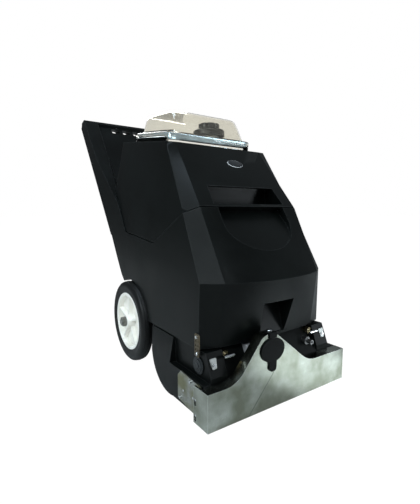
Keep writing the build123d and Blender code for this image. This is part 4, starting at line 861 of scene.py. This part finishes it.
tyre_rubber = moulded(
    "tyre_rubber", dark=(0.0020, 0.0021, 0.0022), light=(0.0045, 0.0047, 0.0048), rough=(0.44, 0.56),
    pebble=300.0, depth=0.00008, edge=0.003, blotches=14.0, specular=0.22,
)
rim_plastic = moulded(
    "rim_plastic", dark=(0.84, 0.82, 0.75), light=(0.94, 0.92, 0.86), rough=(0.30, 0.42),
    pebble=350.0, depth=0.00005, edge=0.002, blotches=18.0,
)
seat = 0.0891  # radius of the rim where the tyre sits on it
for side in ("left", "right"):
    low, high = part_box("tyre_" + side)
    middle_point = (low + high) / 2
    half_width, radius = (high.x - low.x) / 2, (high.z - low.z) / 2
    half_profile = [
        (0.0, radius),
        (half_width * 0.05, radius),
        (half_width * 0.07, radius - 0.0005),
        (half_width * 0.35, radius - 0.0007),
        (half_width * 0.37, radius - 0.0022),
        (half_width * 0.42, radius - 0.0022),
        (half_width * 0.44, radius - 0.0010),
        (half_width * 0.66, radius - 0.0022),
        (half_width * 0.84, radius - 0.0058),
        (half_width * 0.95, radius - 0.0110),
        (half_width * 0.995, radius - 0.0165),
        (half_width * 0.995, radius - 0.0205),
        (half_width * 0.955, radius - 0.0215),
        (half_width * 0.955, radius - 0.0280),
        (half_width * 0.93, seat + 0.0040),
        (half_width * 0.86, seat + 0.0008),
        (half_width * 0.80, seat),
    ]
    profile = half_profile + [(-along, height) for along, height in reversed(half_profile[1:])]
    tyre = turned("tyre_" + side + "_look", profile, middle_point, 120)
    stands_for(even_shading(tyre), "tyre_" + side, tyre_rubber)
    rim = rounded_copy("rim_" + side, [(0.0012, 3, 25, 0.002)])
    stands_for(even_shading(rim), "rim_" + side, rim_plastic)
axle_steel = metal(
    "axle_steel", dark=(0.16, 0.16, 0.15), light=(0.30, 0.30, 0.28), rough=(0.26, 0.38),
    grain=(300.0, None), depth=0.00002,
)
paint(axle_steel, "axle", "axle_washers", "axle_nuts")

# ---------------------------------------------------------------- brush
# A cylinder brush: a grey core drilled in spiral rows, each hole with a tuft of
# nylon filaments, turned by a toothed belt from the motor's small pulley.
brushes = bpy.data.node_groups.new("spiral_tufts", "GeometryNodeTree")
for label, kind in (
    ("Holes", "NodeSocketGeometry"),
    ("Tuft Length", "NodeSocketFloat"),
    ("Tuft Radius", "NodeSocketFloat"),
    ("Filament Radius", "NodeSocketFloat"),
    ("Seed", "NodeSocketInt"),
    ("Finish", "NodeSocketMaterial"),
):
    brushes.interface.new_socket(label, in_out="INPUT", socket_type=kind)
brushes.interface.new_socket("Tufts", in_out="OUTPUT", socket_type="NodeSocketGeometry")
given = brushes.nodes.new("NodeGroupInput").outputs
ring = brushes.nodes.new("GeometryNodeMeshCircle")
ring.inputs["Vertices"].default_value = 6
wire(brushes, given["Tuft Radius"], ring.inputs["Radius"])
filament = brushes.nodes.new("GeometryNodeMeshCone")
filament.inputs["Vertices"].default_value = 4
wire(brushes, calc(brushes, "MULTIPLY", given["Filament Radius"], 0.7), filament.inputs["Radius Top"])
wire(brushes, given["Filament Radius"], filament.inputs["Radius Bottom"])
wire(brushes, given["Tuft Length"], filament.inputs["Depth"])
lean = brushes.nodes.new("FunctionNodeRandomValue")
lean.data_type = "FLOAT_VECTOR"
lean.inputs[0].default_value = (-0.05, -0.05, 0.0)
lean.inputs[1].default_value = (0.05, 0.05, 0.0)
wire(brushes, given["Seed"], lean.inputs["Seed"])
bunch = tree_value(
    brushes, "GeometryNodeInstanceOnPoints", Points=ring.outputs["Mesh"], Instance=filament.outputs["Mesh"]
)
wire(brushes, lean.outputs["Value"], bunch.inputs["Rotation"])
tuft = tree_value(brushes, "GeometryNodeRealizeInstances", Geometry=bunch.outputs["Instances"])
facing = brushes.nodes.new("GeometryNodeInputNamedAttribute")
facing.data_type = "FLOAT_VECTOR"
facing.inputs["Name"].default_value = "facing"
turn = brushes.nodes.new("FunctionNodeAlignRotationToVector")
turn.axis = "Z"
wire(brushes, facing.outputs["Attribute"], turn.inputs["Vector"])
rows = tree_value(
    brushes, "GeometryNodeInstanceOnPoints", Points=given["Holes"], Instance=tuft.outputs["Geometry"]
)
wire(brushes, turn.outputs["Rotation"], rows.inputs["Rotation"])
solid = tree_value(brushes, "GeometryNodeRealizeInstances", Geometry=rows.outputs["Instances"])
coated = tree_value(
    brushes, "GeometryNodeSetMaterial", Geometry=solid.outputs["Geometry"], Material=given["Finish"]
)
wire(brushes, coated.outputs["Geometry"], brushes.nodes.new("NodeGroupOutput").inputs["Tufts"])

nylon = moulded(
    "brush_nylon", dark=(0.015, 0.03, 0.08), light=(0.04, 0.07, 0.15), rough=(0.35, 0.5),
    pebble=900.0, depth=0.00002, edge=0.0004, blotches=60.0,
)
core_low, core_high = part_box("brush_core")
tip_low, tip_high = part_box("brush_bristles")
spin_line = (tip_low + tip_high) / 2
core_radius = (core_high.z - core_low.z) / 2
tip_radius = (tip_high.z - tip_low.z) / 2
tuft_length = tip_radius - core_radius + 0.002
spirals, tufts_along, twist = 12, 46, 1.9
end_gap, tip_gap = 0.003, 0.0015
places, ways = [], []
for spiral in range(spirals):
    for count in range(tufts_along):
        share = (count + 0.5) / tufts_along
        angle = spiral * math.tau / spirals + twist * share
        way = Vector((0, math.cos(angle), math.sin(angle)))
        along = tip_low.x + end_gap + share * (tip_high.x - tip_low.x - 2 * end_gap)
        foot = Vector((along, spin_line.y, spin_line.z))
        places.append(foot + way * (tip_radius - tip_gap - tuft_length))
        ways.append(way)
mesh = bpy.data.meshes.new("brush_tufts")
mesh.from_pydata(places, [], [])
mesh.attributes.new("facing", "FLOAT_VECTOR", "POINT")
mesh.attributes["facing"].data.foreach_set("vector", [number for way in ways for number in way])
tufts = link(mesh, "brush_tufts")
modifier = tufts.modifiers.new("tufts", "NODES")
modifier.node_group = brushes
inputs = {item.name: item.identifier for item in brushes.interface.items_tree if item.in_out == "INPUT"}
modifier[inputs["Tuft Length"]] = tuft_length
modifier[inputs["Tuft Radius"]] = 0.0022
modifier[inputs["Filament Radius"]] = 0.0009
modifier[inputs["Seed"]] = 7
modifier[inputs["Finish"]] = nylon
finished(tufts)
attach(tufts, body_of("brush_bristles"))
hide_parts("brush_bristles")
cast_metal = metal(
    "cast_metal", dark=(0.26, 0.27, 0.28), light=(0.42, 0.43, 0.44), rough=(0.36, 0.5),
    grain=(260.0, None), depth=0.00012, edge=0.001,
)
paint(cast_metal, "vacuum_motor", "vacuum_fan", "brush_pulley", "motor_pulley")
belt_rubber = moulded(
    "belt_rubber", dark=(0.008, 0.008, 0.008), light=(0.02, 0.02, 0.02), rough=(0.6, 0.75),
    pebble=900.0, depth=0.00006, edge=0.0005,
)
paint(belt_rubber, "drive_belt")
grey_plastic = moulded(
    "grey_plastic", dark=(0.22, 0.22, 0.23), light=(0.32, 0.32, 0.33), rough=(0.4, 0.5),
    pebble=400.0, depth=0.00006, edge=0.0012,
)
paint(grey_plastic, "brush_core", "motor_saddle", "solution_pump", "recovery_duct", "pipe_head", "cord_inlet")

# ---------------------------------------------------------------- frame and pipes
# The wheels hang from a black powder-coated frame. White plastic pipe carries air
# and water inside, with a foam ring float under the filter cap.
powder_coat = moulded(
    "powder_coat", dark=(0.015, 0.015, 0.016), light=(0.03, 0.03, 0.031), rough=(0.42, 0.55),
    pebble=900.0, depth=0.00015, edge=0.001,
)
paint(powder_coat, "rear_frame", "brush_motor")
white_pipe = moulded(
    "white_pipe", dark=(0.55, 0.55, 0.51), light=(0.70, 0.70, 0.67), rough=(0.3, 0.4),
    pebble=350.0, depth=0.00004, edge=0.001,
)
paint(white_pipe, "suction_pipe", "inlet_pipe", "air_riser")
float_foam = moulded(
    "float_foam", dark=(0.60, 0.58, 0.53), light=(0.76, 0.75, 0.71), rough=(0.6, 0.75),
    pebble=900.0, depth=0.0003, edge=0.001,
)
paint(float_foam, "float_ring")

# ---------------------------------------------------------------- switches
# Three gloss rocker switches sit in the console's back cover, one each for the brush,
# the vacuum and the pump, and tip on their own pins.
rocker_gloss = moulded(
    "rocker_gloss", dark=(0.008, 0.008, 0.009), light=(0.014, 0.014, 0.015), rough=(0.1, 0.18),
    pebble=700.0, depth=0.00001, edge=0.0006,
)
for node in ("brush_switch", "vacuum_switch", "pump_switch"):
    stands_for(even_shading(rounded_copy(node, [(0.0006, 2, 30, 0.002)])), node, rocker_gloss)
